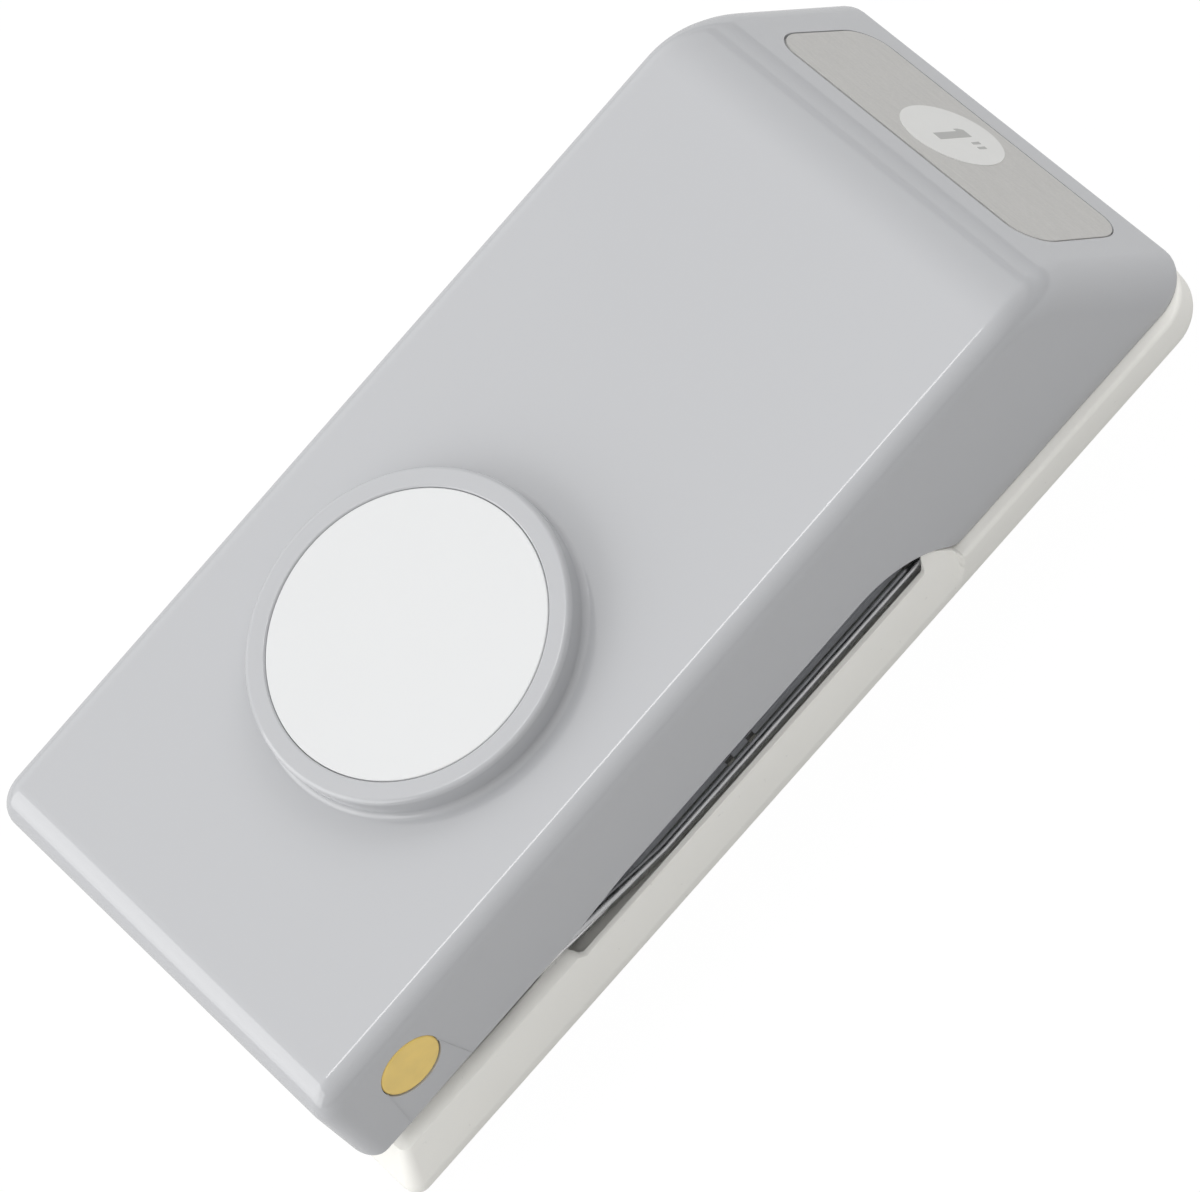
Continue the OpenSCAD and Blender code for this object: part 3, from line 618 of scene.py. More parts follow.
def finish_black(colours):
    """Black moulded plastic with a fine spark-eroded grain."""
    finish = Finish("black_moulded")
    grain = finish.noise(3600, 3.0)
    finish.set(
        Base_Color=finish.vary(grain, colours.black, 0.8, 1.5),
        Roughness=0.45 + 0.2 * grain,
    )
    finish.bump(grain, 0.1, 0.04 * MM)
    return finish.material


# The lever


def lever_outline(lever, base):
    """Side outline of the level lever: upper points with directions and edge radii, then lower points."""
    top = lever_top(lever)
    skirt = top - lever.skirt_depth
    rear = BASE_LOW.x
    crown = lever.rear_round
    blend = lever.blend_round
    slope = 90 - math.degrees(lever.slope_angle)
    tilt = math.atan(lever.rear_draft / lever.skirt_depth)
    back = 180 - math.degrees(tilt)
    crown_x = rear + (lever.skirt_depth - crown) * math.tan(tilt) + crown / math.cos(tilt)
    bend = (BASE_HIGH.x - lever.slope_run - blend * math.tan(lever.slope_angle / 2), top - blend)

    def front_edge(x):
        return base.rim + lever.front_gap - (x - PIVOT.x) * math.tan(lever.pitch)

    upper = [((rear, skirt), back, lever.edge_round)]
    for i, point in enumerate(arc((crown_x, top - crown), crown, back, 90, CROWN_STEPS)):
        upper.append((point, back + (90 - back) * i / CROWN_STEPS, lever.edge_round))
    for i, point in enumerate(arc(bend, blend, 90, slope, BLEND_STEPS)):
        share = i / BLEND_STEPS
        radius = lever.edge_round + (lever.slope_edge - lever.edge_round) * ease(share)
        upper.append((point, 90 + (slope - 90) * share, radius))
    x, z = upper[-1][0]
    lip = x + (z - front_edge(BASE_HIGH.x)) / math.tan(lever.slope_angle)
    upper.append(((lip, front_edge(lip)), slope, lever.slope_edge))

    arch = (DIE_HIGH.x - lever.arch_back, skirt + lever.throat_lift - lever.arch_round)
    foot = lever.arch_foot
    foot_z = front_edge(arch[0] + lever.arch_round) + foot
    foot_x = arch[0] + math.sqrt((lever.arch_round + foot) ** 2 - (foot_z - arch[1]) ** 2)
    lean = math.degrees(math.atan2(foot_z - arch[1], foot_x - arch[0]))
    lower = arc((foot_x, foot_z), foot, 270, 180 + lean, 6)
    lower += arc(arch, lever.arch_round, lean, 90, 16)
    throat_rear = DIE_LOW.x - base.throat_margin
    lower += [(throat_rear + lever.lift_run, skirt + lever.throat_lift), (throat_rear, skirt)]
    return upper, lower


def lever_ring(lever, upper, lower, side, turn):
    """Ring of the lever at one step of its rounding: turn 0 is the side, and a right angle is the top."""
    ring = []
    for i, ((x, z), way, radius) in enumerate(upper):
        inset = radius * (1 - math.sin(turn))
        across, up = math.cos(math.radians(way)), math.sin(math.radians(way))
        if i in (0, len(upper) - 1):
            x -= inset / across
        else:
            x, z = x - inset * across, z - inset * up
        ring.append(Vector((x, side * (lever_half(lever, z) - radius * (1 - math.cos(turn))), z)))
    return ring + [Vector((x, side * lever_half(lever, z), z)) for x, z in lower]


def lever_body(lever, base):
    """The level shell: rounded rings drawn across, underside opened, wall given its thickness."""
    upper, lower = lever_outline(lever, base)
    turns = [math.pi / 2 * i / EDGE_STEPS for i in range(EDGE_STEPS + 1)]
    rings = [lever_ring(lever, upper, lower, -1, turn) for turn in turns]
    rings += [lever_ring(lever, upper, lower, 1, turn) for turn in reversed(turns)]
    piece = stack("lever_cover", rings)
    pick(piece)
    bpy.ops.object.mode_set(mode="EDIT")
    bpy.ops.mesh.select_all(action="SELECT")
    bpy.ops.mesh.remove_doubles(threshold=WELD)
    bpy.ops.mesh.select_all(action="SELECT")
    bpy.ops.mesh.normals_make_consistent(inside=False)
    bpy.ops.mesh.select_mode(type="FACE")
    bpy.ops.mesh.select_all(action="DESELECT")
    mesh = bmesh.from_edit_mesh(piece.data)
    for face in mesh.faces:
        face.select_set(face.normal.z < -0.1)
    bmesh.update_edit_mesh(piece.data)
    bpy.ops.mesh.delete(type="FACE")
    bpy.ops.object.mode_set(mode="OBJECT")
    modify(piece, "SOLIDIFY", thickness=lever.wall, offset=-1, use_even_offset=True)
    return piece


def heel_tool(lever):
    """What is cut away to round the lower rear corner in side view."""
    rear, skirt = BASE_LOW.x, lever_top(lever) - lever.skirt_depth
    heel, half = lever.heel_round, 2 * BASE_HIGH.y
    outline = arc((rear + heel, skirt + heel), heel, 180, 270, 10)
    outline += [(rear + heel, skirt - OVER), (rear - OVER, skirt - OVER), (rear - OVER, skirt + heel)]
    return stack("heel_tool", [[Vector((x, side * half, z)) for x, z in outline] for side in SIDES])


def ring_profile(trim, wall):
    """Profile of the ring around the disc, from its root in the lever's roof to the disc's seat."""
    seat = (DISC_HIGH.y - DISC_LOW.y) / 2 + FIT
    outer = seat + trim.ring_width
    edge = trim.ring_edge
    fillet = trim.ring_fillet
    lip = 0.2 * MM
    brim = trim.disc_rise + FIT
    points = [(outer + fillet, -wall / 2)]
    points += arc((outer + fillet, fillet), fillet, 270, 180, 10)
    points += arc((outer - edge, brim - edge), edge, 0, 90, 10)
    points += arc((seat + lip, brim - lip), lip, 90, 180, 4)
    points.append((seat, trim.disc_rise - trim.disc_thickness))
    return points


def plate_tool(lever, trim, margin, depth):
    """A plate-shaped prism on the slope, from a depth below it to above it."""
    half_x, half_y = trim.plate_length / 2 + margin, trim.plate_width / 2 + margin
    outline = round_box(half_x, half_y, trim.plate_corner + margin, 10)
    tool = stack("plate_tool", [[Vector((x, y, z)) for x, y in outline] for z in (-depth, 2 * OVER)])
    place_at(tool, slope_matrix(lever) @ shift(plate_middle(lever, trim), 0, 0))
    return tool


def cross_rod(name, x, z, radius, half, segments=64):
    """A round rod across the part at x and z."""
    rod = lathe(name, [(radius, -half), (radius, half)], segments)
    place_at(rod, shift(x, 0, z) @ Matrix.Rotation(math.pi / 2, 4, "X"))
    return rod


def inner_ribs(lever):
    """Boxes under the roof: ribs of the cross pin and pads on the wire's tips."""
    top = lever_top(lever)
    root = top - lever.wall / 2
    level = pitch_matrix(lever).inverted()
    pin_low, pin_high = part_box("cross_pin")
    pin = level @ ((pin_low + pin_high) / 2)
    tip = level @ Vector((WIRE_LOW.x, 0, WIRE_HIGH.z))
    ribs = []
    for side in SIDES:
        inner, outer = span(side, pin_high.y - 2 * MM, pin_high.y)
        ribs.append(((pin.x - 2.6 * MM, inner, pin.z - 2.2 * MM), (pin.x + 2.6 * MM, outer, root)))
        inner, outer = span(side, WIRE_HIGH.y - 5.1 * MM, WIRE_HIGH.y - 1.6 * MM)
        ribs.append(((tip.x, inner, tip.z + 0.15 * MM), (tip.x + 2 * MM, outer, root)))
    return [block("lever_rib", low, high) for low, high in ribs]


def mould_seams(lever):
    """Two faint raised lines on each side, flaring from the pin down to the lower edge."""
    skirt = lever_top(lever) - lever.skirt_depth
    reach = (PIN_HIGH.x - PIN_LOW.x) / 2
    seams = []
    for side in SIDES:
        for way in (-1, 1):
            start = (PIVOT.x + way * reach, PIVOT.z - 0.3 * MM)
            end = (PIVOT.x + way * (reach + 0.75 * MM), skirt)
            rings = []
            for x, z in (start, end):
                face = side * lever_half(lever, z)
                inside = face - side * 0.3 * MM
                outside = face + side * lever.seam_proud
                half = lever.seam_width / 2
                rings.append([
                    Vector((x - half, inside, z)), Vector((x + half, inside, z)),
                    Vector((x + half * 0.5, outside, z)), Vector((x - half * 0.5, outside, z)),
                ])
            seams.append(stack("mould_seam", rings))
    return seams


class PUNCH_OT_lever(bpy.types.Operator):
    """Models the lever's shell with its ring, recess, pin holes and ribs"""

    bl_idname = "punch.lever"
    bl_label = "Lever"

    def execute(self, context):
        lever, base, trim = context.scene.punch_lever, context.scene.punch_base, context.scene.punch_trim
        piece = lever_body(lever, base)
        cut(piece, heel_tool(lever))
        ring = lathe("disc_ring", ring_profile(trim, lever.wall), 128)
        place_at(ring, disc_frame(lever))
        add(piece, ring)
        cut(piece, plate_tool(lever, trim, trim.plate_gap, trim.plate_thickness - trim.plate_proud))
        for rib in inner_ribs(lever):
            add(piece, rib)
        pin_radius = (PIN_HIGH.x - PIN_LOW.x) / 2 + lever.pin_gap
        cut(piece, cross_rod("pin_hole", PIVOT.x, PIVOT.z, pin_radius, 2 * BASE_HIGH.y))
        soften(piece, lever.soft_edge)
        seams = mould_seams(lever)
        pick(piece, *seams)
        bpy.ops.object.join()
        place_at(piece, pitch_matrix(lever))
        smooth(piece)
        hand_over(piece, "lever", finish_lever(context.scene.punch_colours), "lever_plastic", "lever_shell")
        return {"FINISHED"}


class PUNCH_OT_disc(bpy.types.Operator):
    """Models the white disc in the lever's ring"""

    bl_idname = "punch.disc"
    bl_label = "Shape disc"

    def execute(self, context):
        lever, trim = context.scene.punch_lever, context.scene.punch_trim
        radius = (DISC_HIGH.y - DISC_LOW.y) / 2
        edge = trim.disc_edge
        profile = [(radius, trim.disc_rise - trim.disc_thickness)]
        profile += arc((radius - edge, trim.disc_rise - edge), edge, 0, 90, 5)
        profile.append((radius * 0.6, trim.disc_rise))
        piece = lathe("shape_disc_face", profile, 128)
        place_at(piece, pitch_matrix(lever) @ disc_frame(lever))
        smooth(piece)
        hand_over(piece, "lever", finish_disc(context.scene.punch_colours), "disc_plastic", "shape_disc")
        return {"FINISHED"}


class PUNCH_OT_size_plate(bpy.types.Operator):
    """Models the brushed plate, its round badge and the plain size numeral"""

    bl_idname = "punch.size_plate"
    bl_label = "Size plate"

    def execute(self, context):
        scene = context.scene
        lever, trim, colours = scene.punch_lever, scene.punch_trim, scene.punch_colours
        down = plate_middle(lever, trim) + trim.plate_slip
        spot = pitch_matrix(lever) @ slope_matrix(lever) @ shift(down, 0, trim.plate_proud)
        self.plate(trim, spot, colours)
        spot = spot @ shift(trim.badge_low, -trim.badge_aside, 0)
        self.badge(trim, spot, colours)
        self.numeral(trim, spot, colours)
        return {"FINISHED"}

    def plate(self, trim, spot, colours):
        edge = 0.08 * MM
        half_x, half_y = trim.plate_length / 2, trim.plate_width / 2
        rings = []
        for inset, z in ((0, -trim.plate_thickness), (0, -edge), (0.3 * edge, -0.3 * edge), (edge, 0)):
            outline = round_box(half_x - inset, half_y - inset, trim.plate_corner - inset, 12)
            rings.append([Vector((x, y, z)) for x, y in outline])
        piece = stack("size_plate_face", rings)
        place_at(piece, spot)
        smooth(piece)
        hand_over(piece, "lever", finish_plate(colours), "plate_metal", "size_plate")

    def badge(self, trim, spot, colours):
        radius = trim.badge / 2
        profile = [(radius, -0.02 * MM), (radius, trim.badge_thickness * 0.5)]
        profile += [(radius - 0.03 * MM, trim.badge_thickness), (radius * 0.5, trim.badge_thickness)]
        piece = lathe("size_badge_face", profile, 96)
        place_at(piece, spot)
        smooth(piece)
        hand_over(piece, "lever", finish_print("badge_white", colours.badge), "badge_print", "size_badge")

    def numeral(self, trim, spot, colours):
        """A plain 1 with two inch ticks; its top points down the slope and its right to -Y."""
        tall = trim.numeral_height
        stem = 0.245 * tall
        one = [(0, 0), (stem, 0), (stem, tall), (-0.1 * stem, tall), (-0.36 * stem, 0.87 * tall),
               (-0.36 * stem, 0.74 * tall), (0, 0.77 * tall)]
        tick = [(0, 0), (0.075 * tall, 0), (0.085 * tall, 0.24 * tall), (-0.01 * tall, 0.24 * tall)]
        shapes = [one]
        for step in (0.45, 0.64):
            shapes.append([(x + step * tall, y + 0.77 * tall) for x, y in tick])
        pieces = []
        for shape in shapes:
            flat = [Vector((y - tall / 2, stem / 2 - x, 0)) for x, y in shape]
            heights = (trim.badge_thickness * 0.5, trim.badge_thickness * 1.4)
            pieces.append(stack("size_numeral", [[point + z * UP for point in flat] for z in heights]))
        pick(*pieces)
        bpy.ops.object.join()
        place_at(pieces[0], spot)
        smooth(pieces[0])
        hand_over(pieces[0], "lever", finish_print("numeral_grey", colours.numeral), "badge_print")


# The base


def base_stations(base):
    """Places round the base's plan: along each side by x, then round each corner by its direction."""
    rear, front = BASE_LOW.x + base.rear_corner, BASE_HIGH.x - base.front_corner
    throat_rear = DIE_LOW.x - base.throat_margin
    scoop_end = DIE_HIGH.x + base.throat_margin + base.scoop_in

    def step(x):
        if abs(x - scoop_end + base.scoop_round / 2) < base.scoop_round:
            return 0.09 * MM
        return 0.35 * MM if abs(x - throat_rear) < 5 * MM else 2 * MM

    run = []
    x = rear
    while x < front:
        run.append(x)
        x += step(x)
    stations = [(x, Vector((0, -1, 0))) for x in run]

    def corner(x, start):
        for turn in arc((0, 0), 1, start, start + 90, 14):
            stations.append((x, Vector((*turn, 0))))

    corner(front, -90)
    corner(front, 0)
    stations += [(x, Vector((0, 1, 0))) for x in reversed(run)]
    corner(rear, 90)
    corner(rear, 180)
    return stations


def base_point(base, x, way, level):
    """Point of the base's wall at a station, from the insets of its side and its end and its height."""
    side_in, rear_in, z = level
    if x > 0:
        radius = base.front_corner - side_in
        end = BASE_HIGH.x - base.front_corner
        centre = x
    else:
        radius = max(base.rear_corner - 0.5 * side_in, 0.3 * MM)
        end = BASE_LOW.x + base.rear_corner
        near = min(1.0, max(0.0, (base.rear_fade + end - x) / base.rear_fade))
        centre = x + near * (rear_in + radius - base.rear_corner)
    depth = BASE_HIGH.y - side_in - radius
    return Vector((centre, math.copysign(depth, way.y), 0)) + radius * way + z * UP


def arch_edge(lever, x):
    """Height of the closed lever's arch at x, or zero in front of it."""
    reach = x - DIE_HIGH.x + lever.arch_back
    if reach > lever.arch_round:
        return 0
    spring = lever_top(lever) - lever.skirt_depth + lever.throat_lift - lever.arch_round
    return spring + math.sqrt(lever.arch_round**2 - reach**2) + (x - PIVOT.x) * math.tan(lever.pitch)


def base_profile(base, lever, x):
    """Section of the wall at x, from the foot over the top to the floor: side inset, end inset, height."""
    throat_rear = DIE_LOW.x - base.throat_margin
    throat_front = DIE_HIGH.x + base.throat_margin
    scoop_end = throat_front + base.scoop_in
    wall_top = base.throat
    if x > throat_front - base.tooth_run:
        rise = base.tooth * ease((x - throat_front - base.tooth_place) / base.tooth_run + 1)
        wall_top = max(base.rim, min(base.throat + rise, arch_edge(lever, x) - base.tooth_gap))
    behind = 1 - ease((x - throat_rear) / (0.8 * MM) + 1)
    top = wall_top + (base.rear - wall_top) * behind

    def lean(z):
        """How far the side has leaned in at a height; the front block stands upright past the scoop."""
        share = max(0.0, z - base.foot) / (base.ridge - base.foot)
        drop = base.scoop_round - (z - base.foot)
        reach = math.sqrt(max(0.0, base.scoop_round**2 - drop**2))
        edge = scoop_end - base.scoop_round + reach
        return share * (1 - ease((x - edge) / base.scoop_edge + 0.5))

    ahead = ease((x - scoop_end) / MM + 1)
    rounding = base.throat_round + (base.rim_round - base.throat_round) * ahead
    brow = (top - rounding) + (base.ridge - top + rounding) * behind
    ledge = base.ledge - base.ledge_taper * ease((x - BASE_LOW.x) / (throat_rear - BASE_LOW.x))
    levels = [(inset, inset, z) for inset, z in arc(
        (base.foot_round, base.foot_round), base.foot_round, 270, 180, 4)]
    levels.append((0, 0, base.foot))
    for i in range(1, WALL_STEPS + 1):
        z = base.foot + (brow - base.foot) * i / WALL_STEPS
        levels.append((base.lean * lean(z), base.rear_lean * lean(z), z))
    side_brow, rear_brow, _ = levels[-1]
    for i in range(1, BROW_STEPS + 1):
        share = i / BROW_STEPS
        turn = math.pi / 2 * share
        across, up = 1 - math.cos(turn), math.sin(turn)
        inset = rounding * across + (ledge * share - rounding * across) * behind
        z = brow + (top - brow) * (up + (share - up) * behind)
        levels.append((side_brow + inset, rear_brow + inset, z))
    lip = 0.05 * MM
    inner = max(base.wall + (base.rear_wall - base.wall) * behind, levels[-1][0] + 3 * lip)
    rear_inner = base.rear_lean + base.wall
    levels += [(inner - lip, rear_inner - lip, top), (inner, rear_inner, top - 2 * lip)]
    levels.append((inner, rear_inner, base.floor))
    return levels


def base_blocks(base):
    """Boxes and rods inside the base: side blocks, ears, pad and the lock's rails."""
    ear_out = PIN_LOW.y + 2.3 * MM
    ear_in = ear_out - 2 * MM
    low = base.floor - 0.2 * MM
    radius = 3.4 * MM
    boxes = []
    for side in SIDES:
        inner, outer = span(side, ear_in, BASE_HIGH.y - base.rear_wall + 0.3 * MM)
        rear_wall = BASE_LOW.x + base.rear_lean + base.wall - 0.3 * MM
        block_end = WIRE_LOW.x - 0.6 * MM
        boxes.append(((rear_wall, inner, low), (block_end, outer, base.rim)))
        inner, outer = span(side, ear_in, ear_out)
        boxes.append(((rear_wall, inner, low), (block_end, outer, base.rear - 0.1 * MM)))
        boxes.append(((PIVOT.x - radius, inner, low), (PIVOT.x + radius, outer, PIVOT.z)))
        half = LOCK_HIGH.y + 0.2 * MM
        inner, outer = span(side, half, half + 2 * MM)
        front = DIE_HIGH.x + LOCK_RUN
        boxes.append(((LOCK_LOW.x, inner, low), (front, outer, 4 * MM)))
        inner, outer = span(side, half - 1.2 * MM, half + 0.3 * MM)
        boxes.append(((LOCK_LOW.x, inner, 3 * MM), (front, outer, 4 * MM)))
    boxes.append(((DIE_LOW.x, DIE_LOW.y, low), (DIE_HIGH.x, DIE_HIGH.y, base.floor + 0.5 * MM)))
    blocks = [block("base_block", low_corner, high_corner) for low_corner, high_corner in boxes]
    for side in SIDES:
        middle = side * (ear_in + ear_out) / 2
        ear = lathe("ear_top", [(radius, -1 * MM), (radius, 1 * MM)], 64)
        turn = Matrix.Rotation(math.pi / 2, 4, "X")
        place_at(ear, shift(PIVOT.x, middle, PIVOT.z) @ turn)
        blocks.append(ear)
    return blocks


def screw_places():
    """Axes of the screws in the base's floor: four of the die set and two of the wire keeper."""
    die_low, die_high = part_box("die_screws")
    keeper_low, keeper_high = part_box("keeper_screws")
    head = (keeper_high.x - keeper_low.x) / 2
    places = []
    for side in SIDES:
        places.append(("keeper_screws", keeper_low.x + head, side * (keeper_high.y - head), keeper_high.z))
        for x in (die_low.x + head, die_high.x - head):
            places.append(("die_screws", x, side * (die_high.y - head), die_high.z))
    return places


def floor_tools(base, trim):
    """What is cut from the base's floor: drop hole, screw seats and the slot of the lock's tab."""
    hole = (DISC_HIGH.y - DISC_LOW.y) / 2 + 1 * MM
    tools = [lathe("drop_hole", [(hole, -OVER), (hole, 9 * MM)], 128)]
    place_at(tools[0], shift(PUNCH.x, 0, 0))
    head, shank = trim.screw_head / 2 + 2 * FIT, trim.screw_shank / 2 + FIT
    deep = trim.screw_rise + FIT
    for _, x, y, _ in screw_places():
        seat = lathe("screw_seat", [(head, -OVER), (head, deep), (shank, deep), (shank, 4 * MM)], 48)
        place_at(seat, shift(x, y, 0))
        tools.append(seat)
    tab_x, half = (LOCK_LOW.x + DIE_HIGH.x + LOCK_RUN) / 2, 3.2 * MM
    slot_low = (tab_x - 1.7 * MM, -half, -OVER)
    slot_high = (tab_x + 3.5 * MM, half, base.floor + OVER)
    tools.append(block("tab_slot", slot_low, slot_high))
    return tools


class PUNCH_OT_base(bpy.types.Operator):
    """Models the off-white base with its scooped throat, ears and floor"""

    bl_idname = "punch.base"
    bl_label = "Base"

    def execute(self, context):
        base, lever, trim = context.scene.punch_base, context.scene.punch_lever, context.scene.punch_trim
        stations = base_stations(base)
        walls = [[base_point(base, x, way, level) for level in base_profile(base, lever, x)]
                 for x, way in stations]
        piece = stack("base_shell", list(zip(*walls)))
        for part in base_blocks(base):
            add(piece, part)
        for tool in floor_tools(base, trim):
            cut(piece, tool)
        soften(piece, 0.1 * MM, 50)
        smooth(piece, 40)
        hand_over(piece, "base", finish_base(context.scene.punch_colours), "base_plastic", "base_tray")
        return {"FINISHED"}


# Pins, wire and screws


class PUNCH_OT_pivot_pins(bpy.types.Operator):
    """Models the two yellow pivot pins"""

    bl_idname = "punch.pivot_pins"
    bl_label = "Pivot pins"

    def execute(self, context):
        trim = context.scene.punch_trim
        material = finish_pin(context.scene.punch_colours)
        head, edge = (PIN_HIGH.x - PIN_LOW.x) / 2, trim.pin_edge
        shank = 1.5 * MM
        shoulder = PIN_LOW.y + 2.35 * MM
        profile = [(shank - 0.2 * MM, PIN_LOW.y), (shank, PIN_LOW.y + 0.2 * MM), (shank, shoulder)]
        profile += [(head - 0.1 * MM, shoulder), (head, shoulder + 0.1 * MM)]
        profile += arc((head - edge, PIN_HIGH.y - edge), edge, 0, 90, 5)
        profile += [(head - 0.45 * MM, PIN_HIGH.y), (head * 0.5, PIN_HIGH.y - 0.01 * MM)]
        for side, name in ((1, "left"), (-1, "right")):
            piece = lathe("pin_" + name, profile, 96)
            turn = Matrix.Rotation(-side * math.pi / 2, 4, "X")
            place_at(piece, shift(PIVOT.x, 0, PIVOT.z) @ turn)
            smooth(piece)
            hand_over(piece, "base", material, "pin_plastic", "pivot_pin_" + name)
        return {"FINISHED"}


def wire_line(wire):
    """Centre line of one side of the wire, from the cross bar's end to the inturned tip."""
    radius, bend = wire.thickness / 2, wire.bend
    bar_x, y = WIRE_HIGH.x - radius, WIRE_HIGH.y - radius
    z = WIRE_LOW.z + radius
    climb = Vector((-math.cos(wire.rise_angle), 0, math.sin(wire.rise_angle)))
    back = Vector((-1, 0, 0))
    left = Vector((0, 1, 0))
    turns = [math.pi / 2 * i / 10 for i in range(11)]
    bar_bend = Vector((bar_x - bend, y - bend, z))
    line = [bar_bend + bend * Vector((math.cos(a), math.sin(a), 0)) for a in turns]
    knee = Vector((bar_x - bend - wire.leg, y, z))
    run = wire.rise_round * math.tan(wire.rise_angle / 2)
    for i in range(7):
        t = i / 6
        line.append(knee - run * back * (1 - t) ** 2 + run * climb * t**2)
    tip_x = WIRE_LOW.x + radius
    rise = (knee.x - tip_x) / math.cos(wire.rise_angle)
    tip_bend = knee + (rise - bend) * climb - bend * left
    line += [tip_bend + bend * (math.sin(a) * climb + math.cos(a) * left) for a in turns]
    end = line[-1].copy()
    end.y = y - wire.tip
    line.append(end)
    return line


def tube_ring(line, i, radius, sides=20):
    """Ring of points square to a line at its point i."""
    way = (line[min(i + 1, len(line) - 1)] - line[max(i - 1, 0)]).normalized()
    across = UP.cross(way).normalized()
    over = way.cross(across)
    turns = [2 * math.pi * k / sides for k in range(sides)]
    return [line[i] + radius * (math.cos(a) * across + math.sin(a) * over) for a in turns]


class PUNCH_OT_return_wire(bpy.types.Operator):
    """Models the bent return wire"""

    bl_idname = "punch.return_wire"
    bl_label = "Return wire"

    def execute(self, context):
        wire = context.scene.punch_wire
        left = wire_line(wire)
        right = [Vector((point.x, -point.y, point.z)) for point in reversed(left)]
        line = right + left
        radius = wire.thickness / 2
        piece = stack("bent_wire", [tube_ring(line, i, radius) for i in range(len(line))])
        smooth(piece)
        colour = context.scene.punch_colours.wire
        material = finish_steel("wire_steel", colour, 0.2, (1, 12, 12))
        hand_over(piece, "wire", material, "wire_steel", "return_wire")
        return {"FINISHED"}


class PUNCH_OT_screws(bpy.types.Operator):
    """Models the screws that hold the die set and the wire keeper from below"""

    bl_idname = "punch.screws"
    bl_label = "Screws"

    def execute(self, context):
        trim = context.scene.punch_trim
        material = finish_steel("screw_steel", context.scene.punch_colours.bright_steel, 0.28, (6, 6, 1))
        groups = {"die_screws": [], "keeper_screws": []}
        for node, x, y, top in screw_places():
            piece = self.screw(trim, top)
            place_at(piece, shift(x, y, 0))
            groups[node].append(piece)
        for node, pieces in groups.items():
            pick(*pieces)
            bpy.ops.object.join()
            pieces[0].name = node.replace("_screws", "_screw_set")
            smooth(pieces[0])
            hand_over(pieces[0], "base", material, "bright_steel", node)
        return {"FINISHED"}

    def screw(self, trim, top):
        """A pan-head screw standing on its head, with a cross recess."""
        head, shank, rise = trim.screw_head / 2, trim.screw_shank / 2, trim.screw_rise
        edge = 0.3 * MM
        profile = arc((head - edge, FIT + edge), edge, 270, 360, 6)
        profile += [(head, rise), (shank, rise), (shank, top - edge), (shank - edge, top)]
        piece = lathe("pan_screw", profile, 48)
        arm, half = 1.15 * MM, 0.24 * MM
        for size in ((arm, half), (half, arm)):
            low = (-size[0], -size[1], -OVER)
            high = (size[0], size[1], FIT + 0.5 * MM)
            cut(piece, block("cross_recess", low, high))
        return piece


class PUNCH_OT_inner_finishes(bpy.types.Operator):
    """Gives the solids that stay in view their finishes"""

    bl_idname = "punch.inner_finishes"
    bl_label = "Inner finishes"

    def execute(self, context):
        colours = context.scene.punch_colours
        dark = finish_steel("die_steel", colours.dark_steel, 0.32, (1, 8, 8))
        bright = finish_steel("ground_steel", colours.bright_steel, 0.25, (1, 10, 1))
        black = finish_black(colours)
        yellow = finish_pin(colours)
        finishes = {
            "die_carrier": dark, "front_spacer": dark, "rear_spacer": dark, "guide_block": dark,
            "die_plate": bright, "cross_pin": bright, "punch_plug": bright, "punch_screws": bright,
            "wire_keeper": black, "punch_carrier": black, "lock_slide": yellow,
        }
        for node, material in finishes.items():
            solid = frame["nodes"][node]
            solid.data.materials.clear()
            solid.data.materials.append(material)
        return {"FINISHED"}


# The stage


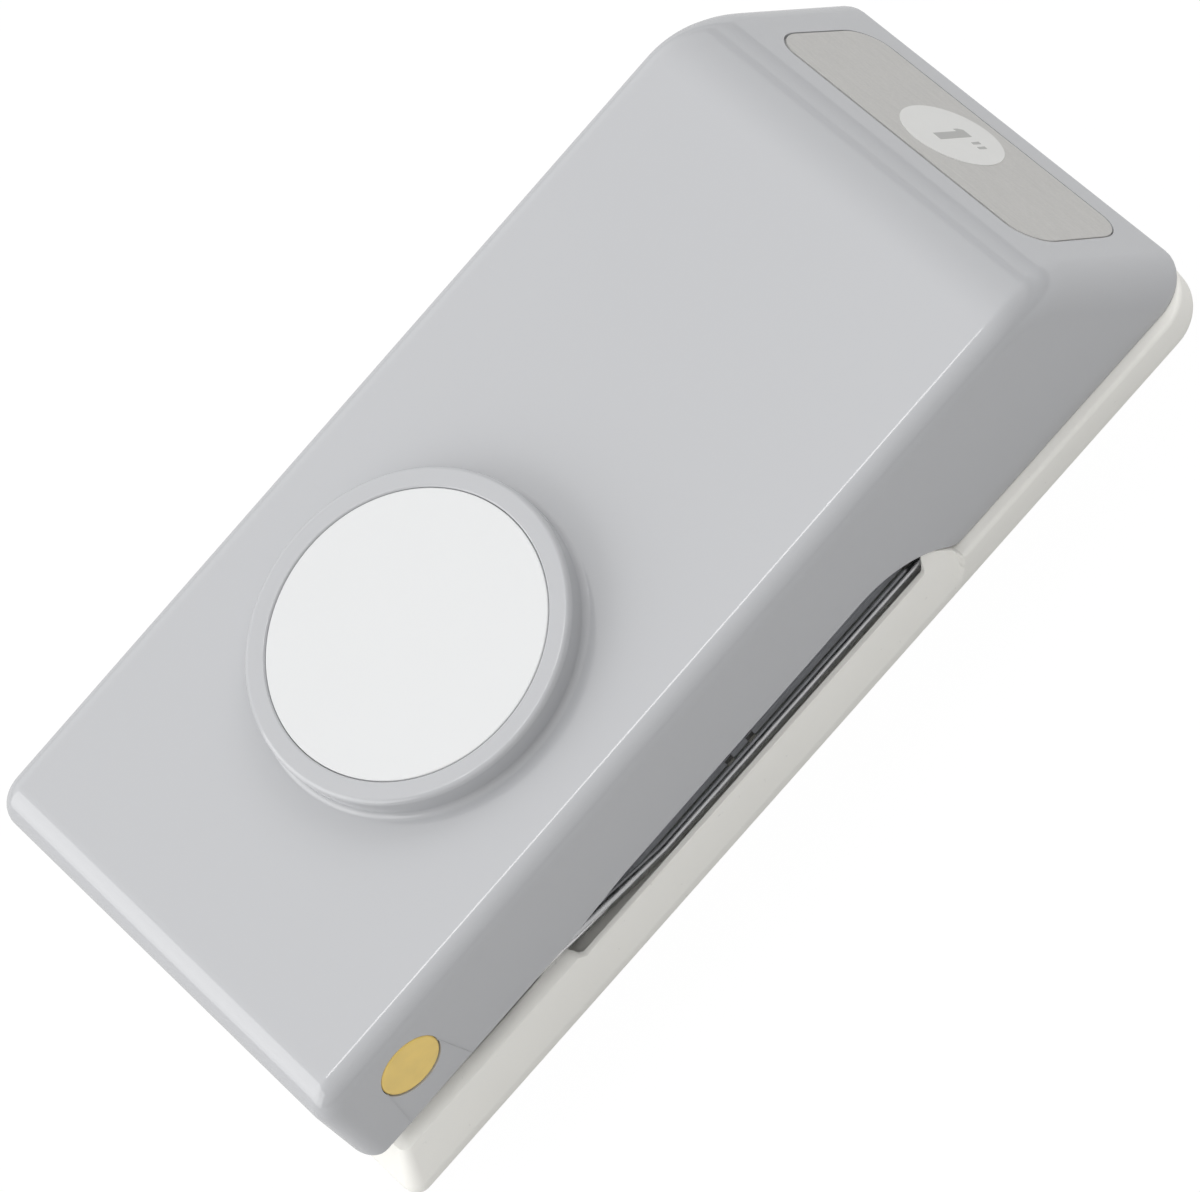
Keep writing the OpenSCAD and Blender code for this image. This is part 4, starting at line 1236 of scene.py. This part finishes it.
class PUNCH_OT_stage(bpy.types.Operator):
    """Sets the floor, the soft lights, the room and the camera"""

    bl_idname = "punch.stage"
    bl_label = "Stage"

    def execute(self, context):
        stage = context.scene.punch_stage
        context.scene.view_settings.view_transform = "Standard"
        self.floor(stage)
        self.room(context, stage)
        self.light("left_light", (-0.68, 0.2, 0.33), stage.left, 0.9, 0.7)
        self.light("right_light", (0.6, 0.12, 0.5), stage.right, 0.4, 0.4, mirrored=False)
        self.light("over_light", (0, -0.3, 0.7), stage.over, 0.4, 0.4, mirrored=False)
        self.light("strip_light", (-0.03, 0.288, 0.703), stage.strip, 0.2, 0.1)
        self.camera(context, stage)
        return {"FINISHED"}

    def floor(self, stage):
        deselect()
        bpy.ops.mesh.primitive_plane_add(size=6)
        floor = bpy.context.active_object
        floor.name = "floor"
        material = bpy.data.materials.new("floor_white")
        material.use_nodes = True
        paint = Paint(material.node_tree)
        paint.tree.nodes.clear()
        paper = paint.node("ShaderNodeBsdfDiffuse", None, {"Color": (0.74, 0.74, 0.74, 1)})
        white = paint.node("ShaderNodeEmission", None, {"Color": (1, 1, 1, 1), "Strength": 1.02})
        seen = paint.node("ShaderNodeLightPath", output="Is Camera Ray")
        mirrored = paint.node("ShaderNodeLightPath", output="Is Glossy Ray")
        dim = paint.node("ShaderNodeEmission", None, {"Color": (1, 1, 1, 1), "Strength": stage.shine})
        shown = paint.node("ShaderNodeMixShader", None, {0: 0.95 * seen, 1: paper, 2: white})
        blend = paint.node("ShaderNodeMixShader", None, {0: mirrored, 1: shown, 2: dim})
        paint.node("ShaderNodeOutputMaterial", None, {"Surface": blend})
        floor.data.materials.append(material)

    def room(self, context, stage):
        world = bpy.data.worlds.new("room")
        context.scene.world = world
        world.use_nodes = True
        paint = Paint(world.node_tree)
        paint.tree.nodes.clear()
        place = paint.node("ShaderNodeTexCoord", output="Generated")
        across, depth, height = [
            paint.node("ShaderNodeSeparateXYZ", None, {"Vector": place}, output=axis) for axis in "XYZ"
        ]
        # The bright part of the room ends overhead, a little behind the object
        overhead = 0.325
        behind = paint.ramp(depth - overhead * height, -0.02, 0.02)
        low = stage.horizon + (1 - stage.horizon) * paint.ramp(height, 0.0, 0.3)
        # In reflections the room is half as bright before the slope, with a black band low down
        band = paint.ramp(height, 0.28, 0.3) - paint.ramp(height, 0.41, 0.43)
        mirrored = paint.node("ShaderNodeLightPath", output="Is Glossy Ray")
        dark = 0.5 * mirrored * paint.ramp(across, 0.2, 0.65) * (1 + band)
        glow = low * (1 - dark) * (stage.front + (stage.room - stage.front) * behind)
        seen = paint.node("ShaderNodeLightPath", output="Is Camera Ray")
        level = glow * (1 - seen) + seen
        light = paint.node("ShaderNodeBackground", None, {"Color": (1, 1, 1, 1), "Strength": level})
        paint.node("ShaderNodeOutputWorld", None, {"Surface": light})

    def light(self, name, spot, power, size_x, size_y, mirrored=True):
        deselect()
        bpy.ops.object.light_add(type="AREA", location=spot)
        lamp = bpy.context.active_object
        lamp.name = name
        lamp.data.shape = "RECTANGLE"
        lamp.data.size = size_x
        lamp.data.size_y = size_y
        lamp.data.energy = power
        lamp.visible_glossy = mirrored
        lamp.rotation_euler = (-Vector(spot)).to_track_quat("-Z", "Y").to_euler()

    def camera(self, context, stage):
        deselect()
        bpy.ops.object.camera_add(location=stage.place)
        camera = bpy.context.active_object
        turn, level = stage.azimuth, math.cos(stage.elevation)
        back = Vector((math.sin(turn) * level, -math.cos(turn) * level, math.sin(stage.elevation)))
        right = (-back).cross(UP).normalized()
        over = back.cross(right)
        turned_right = math.cos(stage.roll) * right + math.sin(stage.roll) * over
        turned_up = math.cos(stage.roll) * over - math.sin(stage.roll) * right
        axes = Matrix((turned_right, turned_up, back)).transposed()
        camera.rotation_euler = axes.to_euler()
        camera.data.lens = stage.lens
        camera.data.sensor_width = 36
        camera.data.clip_start = 0.01
        context.scene.camera = camera


class PUNCH_PT_pieces(bpy.types.Panel):
    """Lists the steps that build the punch"""

    bl_idname = "PUNCH_PT_pieces"
    bl_label = "Circle punch"
    bl_space_type = "VIEW_3D"
    bl_region_type = "UI"
    bl_category = "Punch"

    def draw(self, context):
        for operator in OPERATORS:
            self.layout.operator(operator.bl_idname)


SETTINGS = {
    "punch_lever": LeverSizes,
    "punch_base": BaseSizes,
    "punch_trim": TrimSizes,
    "punch_wire": WireSizes,
    "punch_colours": FinishColours,
    "punch_stage": StageSettings,
}
OPERATORS = (
    PUNCH_OT_stage,
    PUNCH_OT_lever,
    PUNCH_OT_disc,
    PUNCH_OT_size_plate,
    PUNCH_OT_base,
    PUNCH_OT_pivot_pins,
    PUNCH_OT_return_wire,
    PUNCH_OT_screws,
    PUNCH_OT_inner_finishes,
)


def register():
    for group in SETTINGS.values():
        bpy.utils.register_class(group)
    for name, group in SETTINGS.items():
        setattr(bpy.types.Scene, name, bpy.props.PointerProperty(type=group))
    for operator in OPERATORS:
        bpy.utils.register_class(operator)
    bpy.utils.register_class(PUNCH_PT_pieces)


def unregister():
    bpy.utils.unregister_class(PUNCH_PT_pieces)
    for operator in reversed(OPERATORS):
        bpy.utils.unregister_class(operator)
    for name in SETTINGS:
        delattr(bpy.types.Scene, name)
    for group in reversed(tuple(SETTINGS.values())):
        bpy.utils.unregister_class(group)


def main():
    register()
    bpy.ops.punch.stage()
    bpy.ops.punch.lever()
    bpy.ops.punch.disc()
    bpy.ops.punch.size_plate()
    bpy.ops.punch.base()
    bpy.ops.punch.pivot_pins()
    bpy.ops.punch.return_wire()
    bpy.ops.punch.screws()
    bpy.ops.punch.inner_finishes()


if __name__ == "__main__":
    main()
